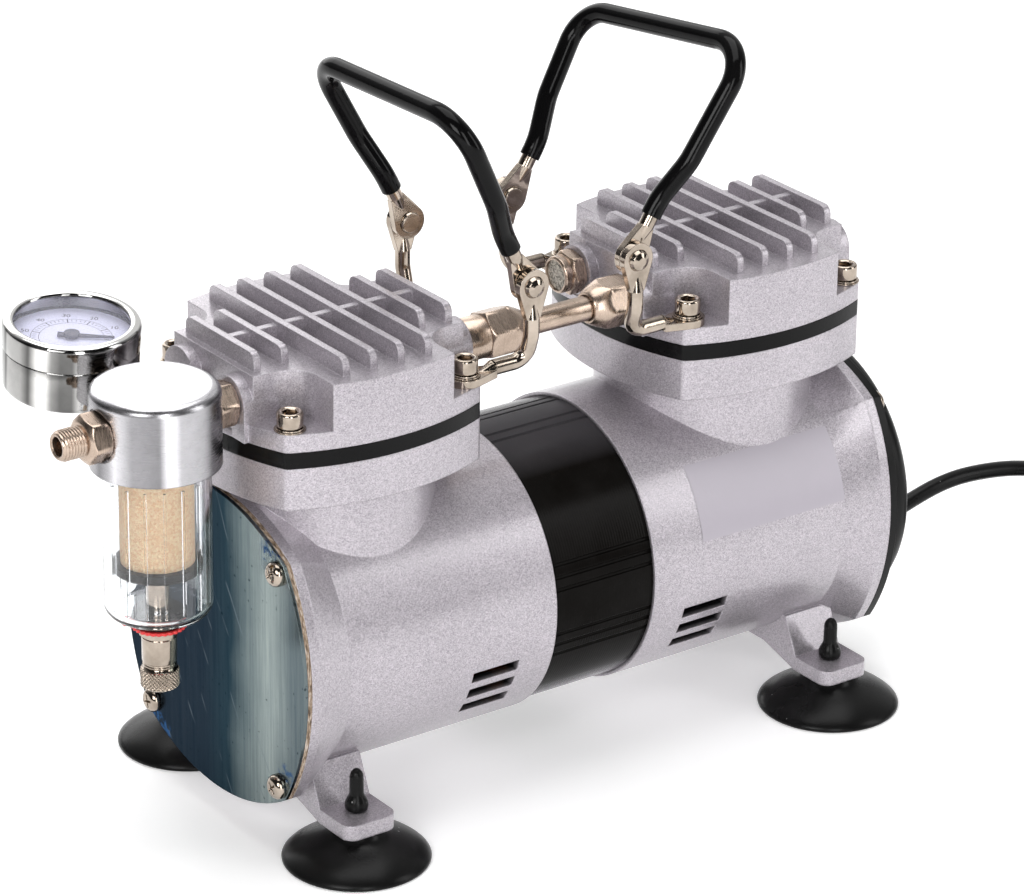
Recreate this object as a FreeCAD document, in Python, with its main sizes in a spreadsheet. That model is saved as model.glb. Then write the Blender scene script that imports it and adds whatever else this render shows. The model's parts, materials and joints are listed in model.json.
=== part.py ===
import FreeCAD, Part
import math
import os
import Sketcher
from FreeCAD import Placement, Rotation, Vector

# Twin-cylinder oil-free vacuum pump. Millimetres, +Z up, the motor shaft along X.
# The filter and the gauge are on the -X end, the supply cord on the +X end.

doc = FreeCAD.newDocument("vacuum_pump")


class Size:
    """A number together with the sheet expression that it comes from."""

    def __init__(self, number, text):
        self.number = float(number)
        self.text = text

    def _join(self, other, sign, number):
        other = size_of(other)
        return Size(number, "(%s %s %s)" % (self.text, sign, other.text))

    def __add__(self, other):
        return self._join(other, "+", self.number + float(other))

    def __sub__(self, other):
        return self._join(other, "-", self.number - float(other))

    def __mul__(self, other):
        return self._join(other, "*", self.number * float(other))

    def __truediv__(self, other):
        return self._join(other, "/", self.number / float(other))

    def __radd__(self, other):
        return size_of(other) + self

    def __rsub__(self, other):
        return size_of(other) - self

    def __rmul__(self, other):
        return size_of(other) * self

    def __rtruediv__(self, other):
        return size_of(other) / self

    def __neg__(self):
        return Size(-self.number, "(0 - %s)" % self.text)

    def __float__(self):
        return self.number


def size_of(value):
    return value if isinstance(value, Size) else Size(value, "%.10g" % value)


def root(value):
    return Size(math.sqrt(float(value)), "sqrt(%s)" % value.text)


# Driving dimensions: name, value, what it is
DIMENSIONS = [
    ("head_pitch", 150, "between the two cylinder axes"),
    ("axis_height", 61.5, "motor axis above the floor"),
    ("left_inner_reach", 57.3, "left cylinder axis to the housing's stator face"),
    ("left_outer_reach", 37, "left cylinder axis to the housing's end flange face"),
    ("right_inner_reach", 54.1, "right cylinder axis to the housing's stator face"),
    ("right_outer_reach", 40.2, "right cylinder axis to the housing's end flange face"),
    ("barrel_radius", 47.5, "outside of the housing barrel"),
    ("barrel_wall", 3.5, "wall of the motor cavity"),
    ("crankcase_wall", 4.5, "wall of the crankcase"),
    ("bearing_wall", 8, "thickness of the wall that holds a main bearing"),
    ("bearing_wall_reach", 17, "cylinder axis to the crank side of the bearing wall"),
    ("flange_corner_inset", 8, "end flange: corners inside the barrel radius, in Y and in Z"),
    ("flange_lip", 3.5, "end flange: middle of each side past the barrel"),
    ("flange_thickness", 3.5, "straight rim of the end flange"),
    ("shoulder_length", 13, "taper from the barrel to the end flange"),
    ("stator_step", 1.2, "stator stack inside the barrel's outline"),
    ("stator_bore", 25, "bore of the stator stack"),
    ("stator_lap", 6, "stack held inside each housing"),
    ("air_gap", 0.4, "between rotor and stator"),
    ("groove_radius", 0.7, "grooves along the stack"),
    ("winding_length", 10, "end turns past the stack"),
    ("winding_inner", 28, "inside of the end turns"),
    ("winding_inset", 5.3, "end turns inside the stack's outline"),
    ("fan_start", 38.5, "fan blades from the middle"),
    ("fan_width", 8, "fan along the shaft"),
    ("fan_radius", 32, "fan"),
    ("fan_sheet", 1.5, "fan disc and blades"),
    ("shaft_radius", 5, "motor shaft in its bearings"),
    ("shaft_middle", 7, "motor shaft under the rotor and fans"),
    ("bearing_radius", 13, "outside of each ball bearing"),
    ("bearing_width", 8, "ball bearing"),
    ("crank_throw", 4.5, "crank pin offset, half the stroke"),
    ("web_thickness", 4, "crank web"),
    ("web_gap", 3.5, "bearing wall to the crank web"),
    ("web_radius", 12, "crank web hub"),
    ("counterweight_radius", 24, "crank counterweight"),
    ("big_end_wall", 4, "ring round the rod bearing"),
    ("small_end_radius", 5, "outside of the rod's small end"),
    ("wrist_pin_radius", 3, "wrist pin"),
    ("wrist_pin_half", 7.7, "half the wrist pin's length"),
    ("bore_radius", 21, "cylinder bore"),
    ("liner_wall", 2.5, "cylinder liner"),
    ("liner_length", 34.4, "cylinder liner, down from the deck"),
    ("skirt_relief", 4, "bore below the liner, for the piston skirt"),
    ("piston_height", 26, "piston"),
    ("crown_gap", 0.5, "piston crown below the deck at the top of its stroke"),
    ("piston_pin_drop", 18, "piston crown to wrist pin centre"),
    ("piston_crown", 3, "thickness of the crown"),
    ("piston_skirt", 3, "wall of the skirt"),
    ("deck_rise", 68.9, "top of the cylinder flange above the motor axis"),
    ("deck_thickness", 13.6, "cylinder flange"),
    ("neck_radius", 35.5, "round neck below the cylinder flange"),
    ("plan_corner", 35.5, "head plan: corner from the cylinder axis"),
    ("plan_bulge", 43.5, "head plan: middle of each side from the cylinder axis"),
    ("plan_rounding", 3, "head plan: corner radius"),
    ("valve_plate_thickness", 5.3, "black plate between cylinder and head"),
    ("reed_length", 24, "valve reed"),
    ("reed_width", 9, "valve reed"),
    ("reed_thickness", 0.4, "valve reed"),
    ("head_flange", 5.8, "head flange under the screws"),
    ("head_body", 15, "head body above its flange"),
    ("head_side", 38.5, "head body: its X faces from the cylinder axis"),
    ("fin_height", 5.8, "cooling fins above the body"),
    ("fin_thickness", 2.4, "cooling fin"),
    ("fin_pitch", 10, "between fins"),
    ("fin_long", 37, "half span of the middle fins"),
    ("fin_short", 19, "half span of the fins beside the ports"),
    ("fin_rounding", 3, "top corners of the fins"),
    ("screw_offset", 32, "head screws from the cylinder axis, in X and in Y"),
    ("notch_inset", 22, "head body corner notch from the cylinder axis"),
    ("notch_radius", 10, "round pocket about each head screw"),
    ("port_offset", 14, "ports from the middle plane"),
    ("port_rise", 10.8, "port centres above the underside of the head"),
    ("port_radius", 4.3, "threaded port bore"),
    ("port_depth", 16, "depth of a port bore"),
    ("boss_radius", 8.3, "port boss"),
    ("boss_reach", 42, "boss face from the cylinder axis"),
    ("chamber_depth", 13, "gas chambers inside the head"),
    ("screw_radius", 2.5, "M5 head screws"),
    ("screw_length", 22, "head screws below the head"),
    ("screw_head_radius", 4.1, "head screw: cap head"),
    ("screw_head_height", 5, "head screw: cap head"),
    ("washer_thickness", 1.1, "washers under a head screw"),
    ("washer_radius", 4.9, "washers under a head screw"),
    ("cover_screw_inset", 3.5, "end cover screws inside the flange corners"),
    ("cover_screw_radius", 2, "M4 end cover screws"),
    ("cover_screw_head", 4, "pan head radius"),
    ("cover_screw_dome", 3, "pan head height"),
    ("cover_screw_length", 8.5, "end cover screws below the head"),
    ("cover_hole_depth", 6.2, "threaded holes for them in the flanges"),
    ("gasket_thickness", 1.5, "cork gasket"),
    ("plate_thickness", 1.2, "steel end plate"),
    ("cap_depth", 12.8, "black end cap"),
    ("cap_rim", 3, "rim of the end cap under its screws"),
    ("cap_step", 3, "raised middle of the end cap inside the rim"),
    ("cap_edge", 6, "rounded edge of the raised middle"),
    ("cap_wall", 2.5, "wall of the end cap"),
    ("vent_length", 17.5, "cooling slot along X"),
    ("vent_height", 3.8, "cooling slot"),
    ("vent_pitch", 6.5, "between cooling slots"),
    ("vent_drop", 14, "upper cooling slot below the motor axis"),
    ("vent_inset", 13.3, "cooling slots from the housing's stator face"),
    ("foot_width", 18.6, "foot bar along X"),
    ("foot_offset", 94, "feet from the middle, along X"),
    ("cup_offset", 48.1, "suction cups from the middle plane"),
    ("foot_reach", 57.5, "end of the foot bar from the middle plane"),
    ("foot_bottom", 11.5, "underside of the foot bar"),
    ("foot_thickness", 5, "foot pad"),
    ("foot_arch", 25, "raised underside of the foot bar from the middle plane"),
    ("foot_rise", 4.5, "underside of the foot bar rises towards the middle"),
    ("ramp_start", 41.5, "foot of the ramp from the middle plane"),
    ("ramp_end", 36, "top of the ramp from the middle plane"),
    ("ramp_drop", 32.5, "top of the ramp below the motor axis"),
    ("foot_rounding", 4, "outer corners of the foot pad"),
    ("cup_radius", 23.3, "suction cup rim"),
    ("cup_stem_radius", 2.25, "cup stem"),
    ("cup_bulb_radius", 3.7, "bulb that locks the cup in the foot"),
    ("cup_bulb_height", 6, "bulb above the pad"),
    ("cup_tip_height", 30.7, "tip of the cup stem above the floor"),
    ("running_gap", 0.05, "radial gap of every running fit"),
    ("seat_gap", 0.05, "radial gap of every fixed seat"),
    ("tube_radius", 4, "crossover tube"),
    ("tube_wall", 1, "crossover tube"),
    ("left_collar", 8.5, "visible collar of the left tube fitting"),
    ("right_collar", 1, "visible collar of the right tube fitting"),
    ("collar_radius", 7, "tube fitting collar"),
    ("thread_depth", 8, "threads inside the ports"),
    ("nut_length", 15.5, "tube nut"),
    ("nut_circle", 8.3, "tube nut: hex circumradius"),
    ("nut_nose", 6, "tapered nose of the tube nut"),
    ("silencer_circle", 7.5, "silencer: hex circumradius"),
    ("silencer_hex", 4.5, "silencer: hex length"),
    ("silencer_radius", 6, "silencer: round front"),
    ("silencer_front", 3.5, "silencer: round front length"),
    ("silencer_disc_radius", 4.95, "sintered disc"),
    ("filter_offset", 143, "filter axis from the middle, along X"),
    ("filter_radius", 20, "filter head"),
    ("filter_rise", 12, "top of the filter head above its ports"),
    ("filter_skirt", 13.2, "lower edge of the filter head below its ports"),
    ("filter_edge", 3, "rounded top edge of the filter head"),
    ("filter_pocket", 7, "depth of the thread for the bowl"),
    ("spot_radius", 8.2, "flat seats on the filter head"),
    ("spot_depth", 1.5, "flat seats on the filter head"),
    ("filter_chamber", 8, "passage above the element"),
    ("filter_chamber_height", 9, "passage above the element"),
    ("adapter_circle", 7.6, "filter adapter: hex circumradius"),
    ("nipple_circle", 8, "inlet nipple: hex circumradius"),
    ("nipple_hex", 7.5, "inlet nipple: hex length"),
    ("nipple_thread_radius", 4.86, "inlet nipple: outside thread"),
    ("nipple_thread", 8, "inlet nipple: thread length"),
    ("nipple_bore", 3, "inlet nipple: bore"),
    ("bowl_radius", 16.65, "filter bowl"),
    ("bowl_wall", 2, "filter bowl"),
    ("bowl_length", 49.3, "bowl below the filter head"),
    ("rib_depth", 0.7, "ribs inside the bowl"),
    ("bowl_edge", 4, "rounded bottom edge of the bowl"),
    ("element_radius", 11.3, "sintered filter element"),
    ("element_wall", 3.8, "sintered filter element"),
    ("element_lift", 18, "element above the underside of the bowl"),
    ("baffle_radius", 13.65, "baffle under the element"),
    ("baffle_thickness", 3.3, "baffle under the element"),
    ("stud_radius", 2.5, "stud of the baffle"),
    ("drain_tube_radius", 3.6, "drain valve inside the bowl"),
    ("drain_tube_lift", 12, "top of the drain valve above the underside of the bowl"),
    ("drain_seal_radius", 8.4, "seal under the bowl"),
    ("drain_seal_height", 3.4, "seal under the bowl"),
    ("lock_ring_radius", 8.65, "red lock ring"),
    ("lock_ring_height", 1.2, "red lock ring"),
    ("drain_body_radius", 5.4, "drain valve body"),
    ("drain_hex_circle", 6.4, "drain valve body: hex circumradius"),
    ("drain_hex", 3, "drain valve body: hex length"),
    ("drain_body_height", 13, "drain valve body"),
    ("knob_radius", 5.9, "knurled drain knob"),
    ("knob_height", 7, "knurled drain knob"),
    ("gauge_y", 32.8, "gauge centre behind the middle plane"),
    ("gauge_rise", 17.1, "gauge rim above the filter ports"),
    ("gauge_tilt", 5, "gauge leans towards the filter, degrees"),
    ("gauge_radius", 21.2, "gauge bezel"),
    ("gauge_height", 22.2, "gauge with its bezel"),
    ("bezel_height", 8.5, "gauge bezel"),
    ("bezel_opening", 17.6, "gauge bezel window radius"),
    ("gauge_wall", 1.2, "gauge case"),
    ("dial_drop", 6.4, "rim to the dial's underside"),
    ("gauge_stem_radius", 4.9, "gauge stem"),
    ("gauge_stem_drop", 15, "rim to the stem axis"),
    ("gauge_stem_length", 17.5, "gauge stem"),
    ("pointer_length", 13, "gauge pointer"),
    ("eye_y", 32, "handle eyes from the middle plane"),
    ("pivot_x", 20, "handle pivots from the middle, along X"),
    ("pivot_rise", 27.5, "handle pivots above the head flange"),
    ("strip_thickness", 2.5, "flattened ends of brackets and handles"),
    ("flat_reach", 10.5, "rivet or screw centre to the round part of a rod"),
    ("eye_gap", 0.25, "between a handle eye and its bracket"),
    ("eye_radius", 5.5, "eyes of brackets and handles"),
    ("rivet_radius", 2.4, "handle rivet"),
    ("rivet_head", 3.6, "handle rivet: domed head radius"),
    ("wire_radius", 2.5, "handle wire"),
    ("sleeve_radius", 3.3, "vinyl sleeve on the handle"),
    ("sleeve_start", 14, "pivot to the start of the sleeve"),
    ("handle_bend", 12, "corner radius of the handle"),
    ("knee_start", 20, "pivot to where the legs turn outwards"),
    ("knee_end", 34, "pivot to the knee of each leg"),
    ("knee_bend", 20, "bend radius at the knees"),
    ("knee_spread", 37, "knees from the middle plane"),
    ("handle_spread", 40, "handle corners from the middle plane"),
    ("left_front_leg", 68, "left handle: front leg"),
    ("left_back_leg", 64.5, "left handle: back leg"),
    ("left_lean", 27, "left handle: lean towards -X, degrees"),
    ("right_front_leg", 74.5, "right handle: front leg"),
    ("right_back_leg", 64.3, "right handle: back leg"),
    ("right_lean", 31.5, "right handle: lean towards +X, degrees"),
    ("cord_radius", 2.7, "supply cord"),
    ("gland_y", 12, "cord exit in front of the middle plane"),
    ("gland_drop", 26, "cord exit below the motor axis"),
    ("gland_flange", 3, "strain relief flange"),
    ("gland_flange_radius", 7, "strain relief flange"),
    ("gland_length", 22, "tapered strain relief"),
    ("gland_radius", 5, "strain relief at the cap"),
    ("gland_tip", 3.6, "strain relief at the cord"),
    ("gland_rise", 15, "strain relief points up, degrees"),
    ("coil_x", 252, "coil centre from the middle, along X"),
    ("coil_y", 33, "coil centre in front of the middle plane"),
    ("coil_radius", 30, "middle of the coil's turns"),
    ("coil_band", 8.4, "half the width of the coiled bundle"),
    ("coil_height", 16.5, "height of the coiled bundle"),
    ("plug_tail", 20, "cord left on the plug"),
    ("plug_neck", 6.5, "plug neck radius"),
    ("plug_boot", 14, "plug's flexible boot"),
    ("plug_face", 17, "plug front radius"),
    ("plug_taper", 16, "tapered back of the plug"),
    ("plug_rim", 12, "straight rim of the plug"),
    ("plug_turn", 75, "plug turned clockwise from +X, degrees"),
    ("plug_pin_radius", 2.4, "plug pins"),
    ("plug_pin_length", 19, "plug pins"),
    ("plug_pin_pitch", 19, "between the plug pins"),
]

sheet = doc.addObject("Spreadsheet::Sheet", "Sizes")
layout = doc.addObject("Spreadsheet::Sheet", "Layout")


class Names:
    pass


s = Names()
for row, (alias, value, meaning) in enumerate(DIMENSIONS, start=1):
    sheet.set("A%d" % row, alias)
    sheet.set("B%d" % row, str(value))
    sheet.set("C%d" % row, meaning)
    sheet.setAlias("B%d" % row, alias)
    setattr(s, alias, Size(value, "Sizes." + alias))

placed_names = []


def place(alias, value):
    """Keep a worked-out size in the layout sheet, so that expressions stay short."""
    placed_names.append(alias)
    row = len(placed_names)
    layout.set("A%d" % row, alias)
    layout.set("B%d" % row, "=" + size_of(value).text)
    layout.setAlias("B%d" % row, alias)
    return Size(float(value), "Layout." + alias)


# Worked-out places, measured from the middle between the heads
head_x = place("head_x", s.head_pitch / 2)
left_face = place("left_face", s.left_inner_reach - head_x)
right_face = place("right_face", head_x - s.right_inner_reach)
left_end = place("left_end", -(head_x + s.left_outer_reach))
right_end = place("right_end", head_x + s.right_outer_reach)
plate_face = place("plate_face", left_end - s.gasket_thickness - s.plate_thickness)
cap_end = place("cap_end", right_end + s.cap_depth)
flange_corner = place("flange_corner", s.barrel_radius - s.flange_corner_inset)
flange_bulge = place("flange_bulge", s.barrel_radius + s.flange_lip)
crankcase_radius = place("crankcase_radius", s.barrel_radius - s.crankcase_wall)
stator_radius = place("stator_radius", s.barrel_radius - s.stator_step)
cover_screw_offset = place("cover_screw_offset", flange_corner - s.cover_screw_inset)
liner_rise = place("liner_rise", s.deck_rise - s.liner_length)
rod_length = place("rod_length",
                   s.deck_rise - s.crank_throw - s.piston_pin_drop - s.crown_gap)
liner_bottom = place("liner_bottom", s.axis_height + liner_rise)
deck_height = place("deck_height", s.axis_height + s.deck_rise)
plate_top = place("plate_top", deck_height + s.valve_plate_thickness)
flange_top = place("flange_top", plate_top + s.head_flange)
port_height = place("port_height", plate_top + s.port_rise)
filter_bottom = place("filter_bottom", port_height - s.filter_skirt)
bowl_bottom = place("bowl_bottom", filter_bottom - s.bowl_length)
element_bottom = place("element_bottom", bowl_bottom + s.element_lift)
gauge_z = place("gauge_z", port_height + s.gauge_rise)
pivot_z = place("pivot_z", flange_top + s.pivot_rise)
nipple_start = place("nipple_start", -(s.filter_offset + s.filter_radius - s.spot_depth))
nipple_tip = place("nipple_tip", nipple_start - s.nipple_hex - s.nipple_thread)

# The origin is at the middle of the overall length, on the floor
shift = place("shift", -(nipple_tip + cap_end) / 2)


def bind(feature, prop, value):
    """Set a property to a size and tie it to the sheet."""
    if isinstance(value, Size):
        feature.setExpression(prop, value.text)


def put(feature, x, y, z, turn=None):
    """Place a feature at a point of its own piece's frame."""
    feature.Placement = Placement(Vector(float(x), float(y), float(z)), turn or Rotation())
    for letter, value in zip("xyz", (x, y, z)):
        bind(feature, "Placement.Base." + letter, value)


def locate(feature, x, y, z, turn=None):
    """Place a feature at a point that is measured from the middle between the heads."""
    put(feature, x + shift, y, z, turn)


TO_PLUS_X = Rotation(Vector(0, 1, 0), 90)
TO_MINUS_X = Rotation(Vector(0, 1, 0), -90)
TO_PLUS_Y = Rotation(Vector(1, 0, 0), -90)
TO_MINUS_Y = Rotation(Vector(1, 0, 0), 90)
HALF_TURN = Rotation(Vector(0, 0, 1), 180)


# Sketches

def new_body(label):
    body = doc.addObject("PartDesign::Body", label)
    body.Label = label
    return body


def new_sketch(body, role, lift=0):
    """A sketch on one of the body's own planes, lifted along the plane's normal."""
    sketch = body.newObject("Sketcher::SketchObject", body.Name + "_sketch")
    plane = next(item for item in body.Origin.OriginFeatures if item.Role == role)
    sketch.AttachmentSupport = [(plane, "")]
    sketch.MapMode = "FlatFace"
    sketch.AttachmentOffset = Placement(Vector(0, 0, float(lift)), Rotation())
    bind(sketch, "AttachmentOffset.Base.z", size_of(lift) if lift else lift)
    return sketch


def pin_point(sketch, geometry, point, x, y):
    """Hold a sketch point at x, y from the sketch's origin."""
    for kind, axis, value in (("DistanceX", -2, x), ("DistanceY", -1, y)):
        if float(value) == 0:
            sketch.addConstraint(Sketcher.Constraint("PointOnObject", geometry, point, axis))
            continue
        number = sketch.addConstraint(
            Sketcher.Constraint(kind, -1, 1, geometry, point, float(value)))
        bind(sketch, "Constraints[%d]" % number, value)


def outline(sketch, corners, radii=None):
    """A closed anticlockwise outline; a side with a radius is an arc, inwards if negative."""
    points = [Vector(float(x), float(y), 0) for x, y in corners]
    count = len(points)
    radii = radii or [None] * count
    first = sketch.GeometryCount
    ends = []
    for index, radius in enumerate(radii):
        start, end = points[index], points[(index + 1) % count]
        if radius is None:
            sketch.addGeometry(Part.LineSegment(start, end))
            ends.append((1, 2))
            continue
        chord = end - start
        size, half = abs(float(radius)), chord.Length / 2
        sagitta = size - math.sqrt(max(size ** 2 - half ** 2, 0))
        outward = Vector(chord.y, -chord.x, 0).normalize()
        if float(radius) > 0:
            middle = start + chord / 2 + outward * sagitta
            sketch.addGeometry(Part.Arc(start, middle, end))
            ends.append((1, 2))
        else:
            middle = start + chord / 2 - outward * sagitta
            sketch.addGeometry(Part.Arc(end, middle, start))
            ends.append((2, 1))
    for index in range(count):
        after = (index + 1) % count
        sketch.addConstraint(Sketcher.Constraint(
            "Coincident", first + index, ends[index][1], first + after, ends[after][0]))
    for index, (x, y) in enumerate(corners):
        pin_point(sketch, first + index, ends[index][0], x, y)
    for index, radius in enumerate(radii):
        if radius is not None:
            size = size_of(radius) if float(radius) > 0 else -size_of(radius)
            number = sketch.addConstraint(
                Sketcher.Constraint("Radius", first + index, float(size)))
            bind(sketch, "Constraints[%d]" % number, size)


def circle(sketch, x, y, radius):
    index = sketch.addGeometry(Part.Circle(Vector(float(x), float(y), 0),
                                           Vector(0, 0, 1), float(radius)))
    pin_point(sketch, index, 3, x, y)
    number = sketch.addConstraint(Sketcher.Constraint("Radius", index, float(radius)))
    bind(sketch, "Constraints[%d]" % number, radius)


def bulged_square(sketch, corner, bulge):
    """A square whose sides are arcs that bulge outwards, as on the heads and end flanges."""
    sagitta = bulge - corner
    radius = (corner * corner + sagitta * sagitta) / (2 * sagitta)
    corners = [(corner, -corner), (corner, corner), (-corner, corner), (-corner, -corner)]
    outline(sketch, corners, [radius] * 4)


# Features inside a body

def pad(body, sketch, length, back=False):
    feature = body.newObject("PartDesign::Pad", body.Name + "_pad")
    feature.Profile = sketch
    feature.Reversed = back
    feature.Length = float(length)
    bind(feature, "Length", length)
    return feature


def pocket(body, sketch, length, back=False):
    feature = body.newObject("PartDesign::Pocket", body.Name + "_pocket")
    feature.Profile = sketch
    feature.Reversed = back
    feature.Length = float(length)
    bind(feature, "Length", length)
    return feature


def revolve(body, sketch, axis="V_Axis", cut=False):
    kind = "PartDesign::Groove" if cut else "PartDesign::Revolution"
    feature = body.newObject(kind, body.Name + "_turn")
    feature.Profile = sketch
    feature.ReferenceAxis = (sketch, [axis])
    feature.Angle = 360
    return feature


def row_of(body, original, sketch, axis, length, count):
    feature = body.newObject("PartDesign::LinearPattern", body.Name + "_row")
    feature.Originals = [original]
    feature.Direction = (sketch, [axis])
    feature.Length = float(length)
    bind(feature, "Length", length)
    feature.Occurrences = count
    body.Tip = feature
    return feature


def ring_of(body, original, sketch, count):
    feature = body.newObject("PartDesign::PolarPattern", body.Name + "_ring")
    feature.Originals = [original]
    feature.Axis = (sketch, ["N_Axis"])
    feature.Angle = 360
    feature.Occurrences = count
    body.Tip = feature
    return feature


def mirror_of(body, originals, role):
    feature = body.newObject("PartDesign::Mirrored", body.Name + "_mirror")
    feature.Originals = originals
    plane = next(item for item in body.Origin.OriginFeatures if item.Role == role)
    feature.MirrorPlane = (plane, [""])
    body.Tip = feature
    return feature


def round_edges(body, base, radius, wanted):
    """Fillet the edges of a finished feature that the test picks."""
    doc.recompute()
    names = ["Edge%d" % (index + 1) for index, edge in enumerate(base.Shape.Edges)
             if wanted(edge)]
    feature = body.newObject("PartDesign::Fillet", body.Name + "_fillet")
    feature.Base = (base, names)
    feature.Radius = float(radius)
    bind(feature, "Radius", radius)
    return feature


def is_upright(edge):
    """A straight edge along Z."""
    ends = [vertex.Point for vertex in edge.Vertexes]
    return len(ends) == 2 and (ends[0] - ends[1]).cross(Vector(0, 0, 1)).Length < 1e-6


# Whole sub-parts

def lathe(label, profile):
    """A turned body: the profile holds (radius, height) corners about the local Z axis."""
    body = new_body(label)
    sketch = new_sketch(body, "XZ_Plane")
    outline(sketch, profile)
    revolve(body, sketch)
    return body


def turned(label, profile, x, y, z, turn=None):
    """A turned piece at its own place."""
    body = lathe(label, profile)
    locate(body, x, y, z, turn)
    return body


def tube_profile(inner, outer, low, high):
    return [(inner, low), (outer, low), (outer, high), (inner, high)]


def primitive(kind, label, sizes, x, y, z, turn=None):
    """A Part primitive in its piece's own frame, with each size tied to the sheet."""
    feature = doc.addObject("Part::" + kind, label)
    for prop, value in sizes.items():
        setattr(feature, prop, float(value))
        bind(feature, prop, value)
    put(feature, x, y, z, turn)
    return feature


def cylinder(label, radius, length, x, y, z, turn=None):
    return primitive("Cylinder", label, {"Radius": radius, "Height": length}, x, y, z, turn)


def cone(label, radius, end_radius, length, x, y, z, turn=None):
    return primitive("Cone", label, {"Radius1": radius, "Radius2": end_radius,
                                     "Height": length}, x, y, z, turn)


def hexagon(label, circle_radius, length, x, y, z, turn=None):
    feature = primitive("Prism", label, {"Circumradius": circle_radius, "Height": length},
                        x, y, z, turn)
    feature.Polygon = 6
    return feature


def box(label, length, width, height, x, y, z):
    return primitive("Box", label, {"Length": length, "Width": width, "Height": height},
                     x, y, z)


def cut(label, base, tool):
    feature = doc.addObject("Part::Cut", label)
    feature.Base = base
    feature.Tool = tool
    return feature


def fuse(label, shapes):
    feature = doc.addObject("Part::MultiFuse", label)
    feature.Shapes = shapes
    return feature


def group(label, members):
    """Separate solids that share one node."""
    feature = doc.addObject("Part::Compound", label)
    feature.Links = members
    return feature


nodes = []


def node(feature, label):
    """Name a finished sub-part: its label is its file's name."""
    feature.Label = label
    nodes.append(feature)
    return feature


# Housings

def barrel_arcs(sketch):
    """The barrel's circle as four arcs, which face the four sides of the end flange."""
    corner = s.barrel_radius / root(size_of(2))
    corners = [(corner, -corner), (corner, corner), (-corner, corner), (-corner, -corner)]
    outline(sketch, corners, [s.barrel_radius] * 4)


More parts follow.
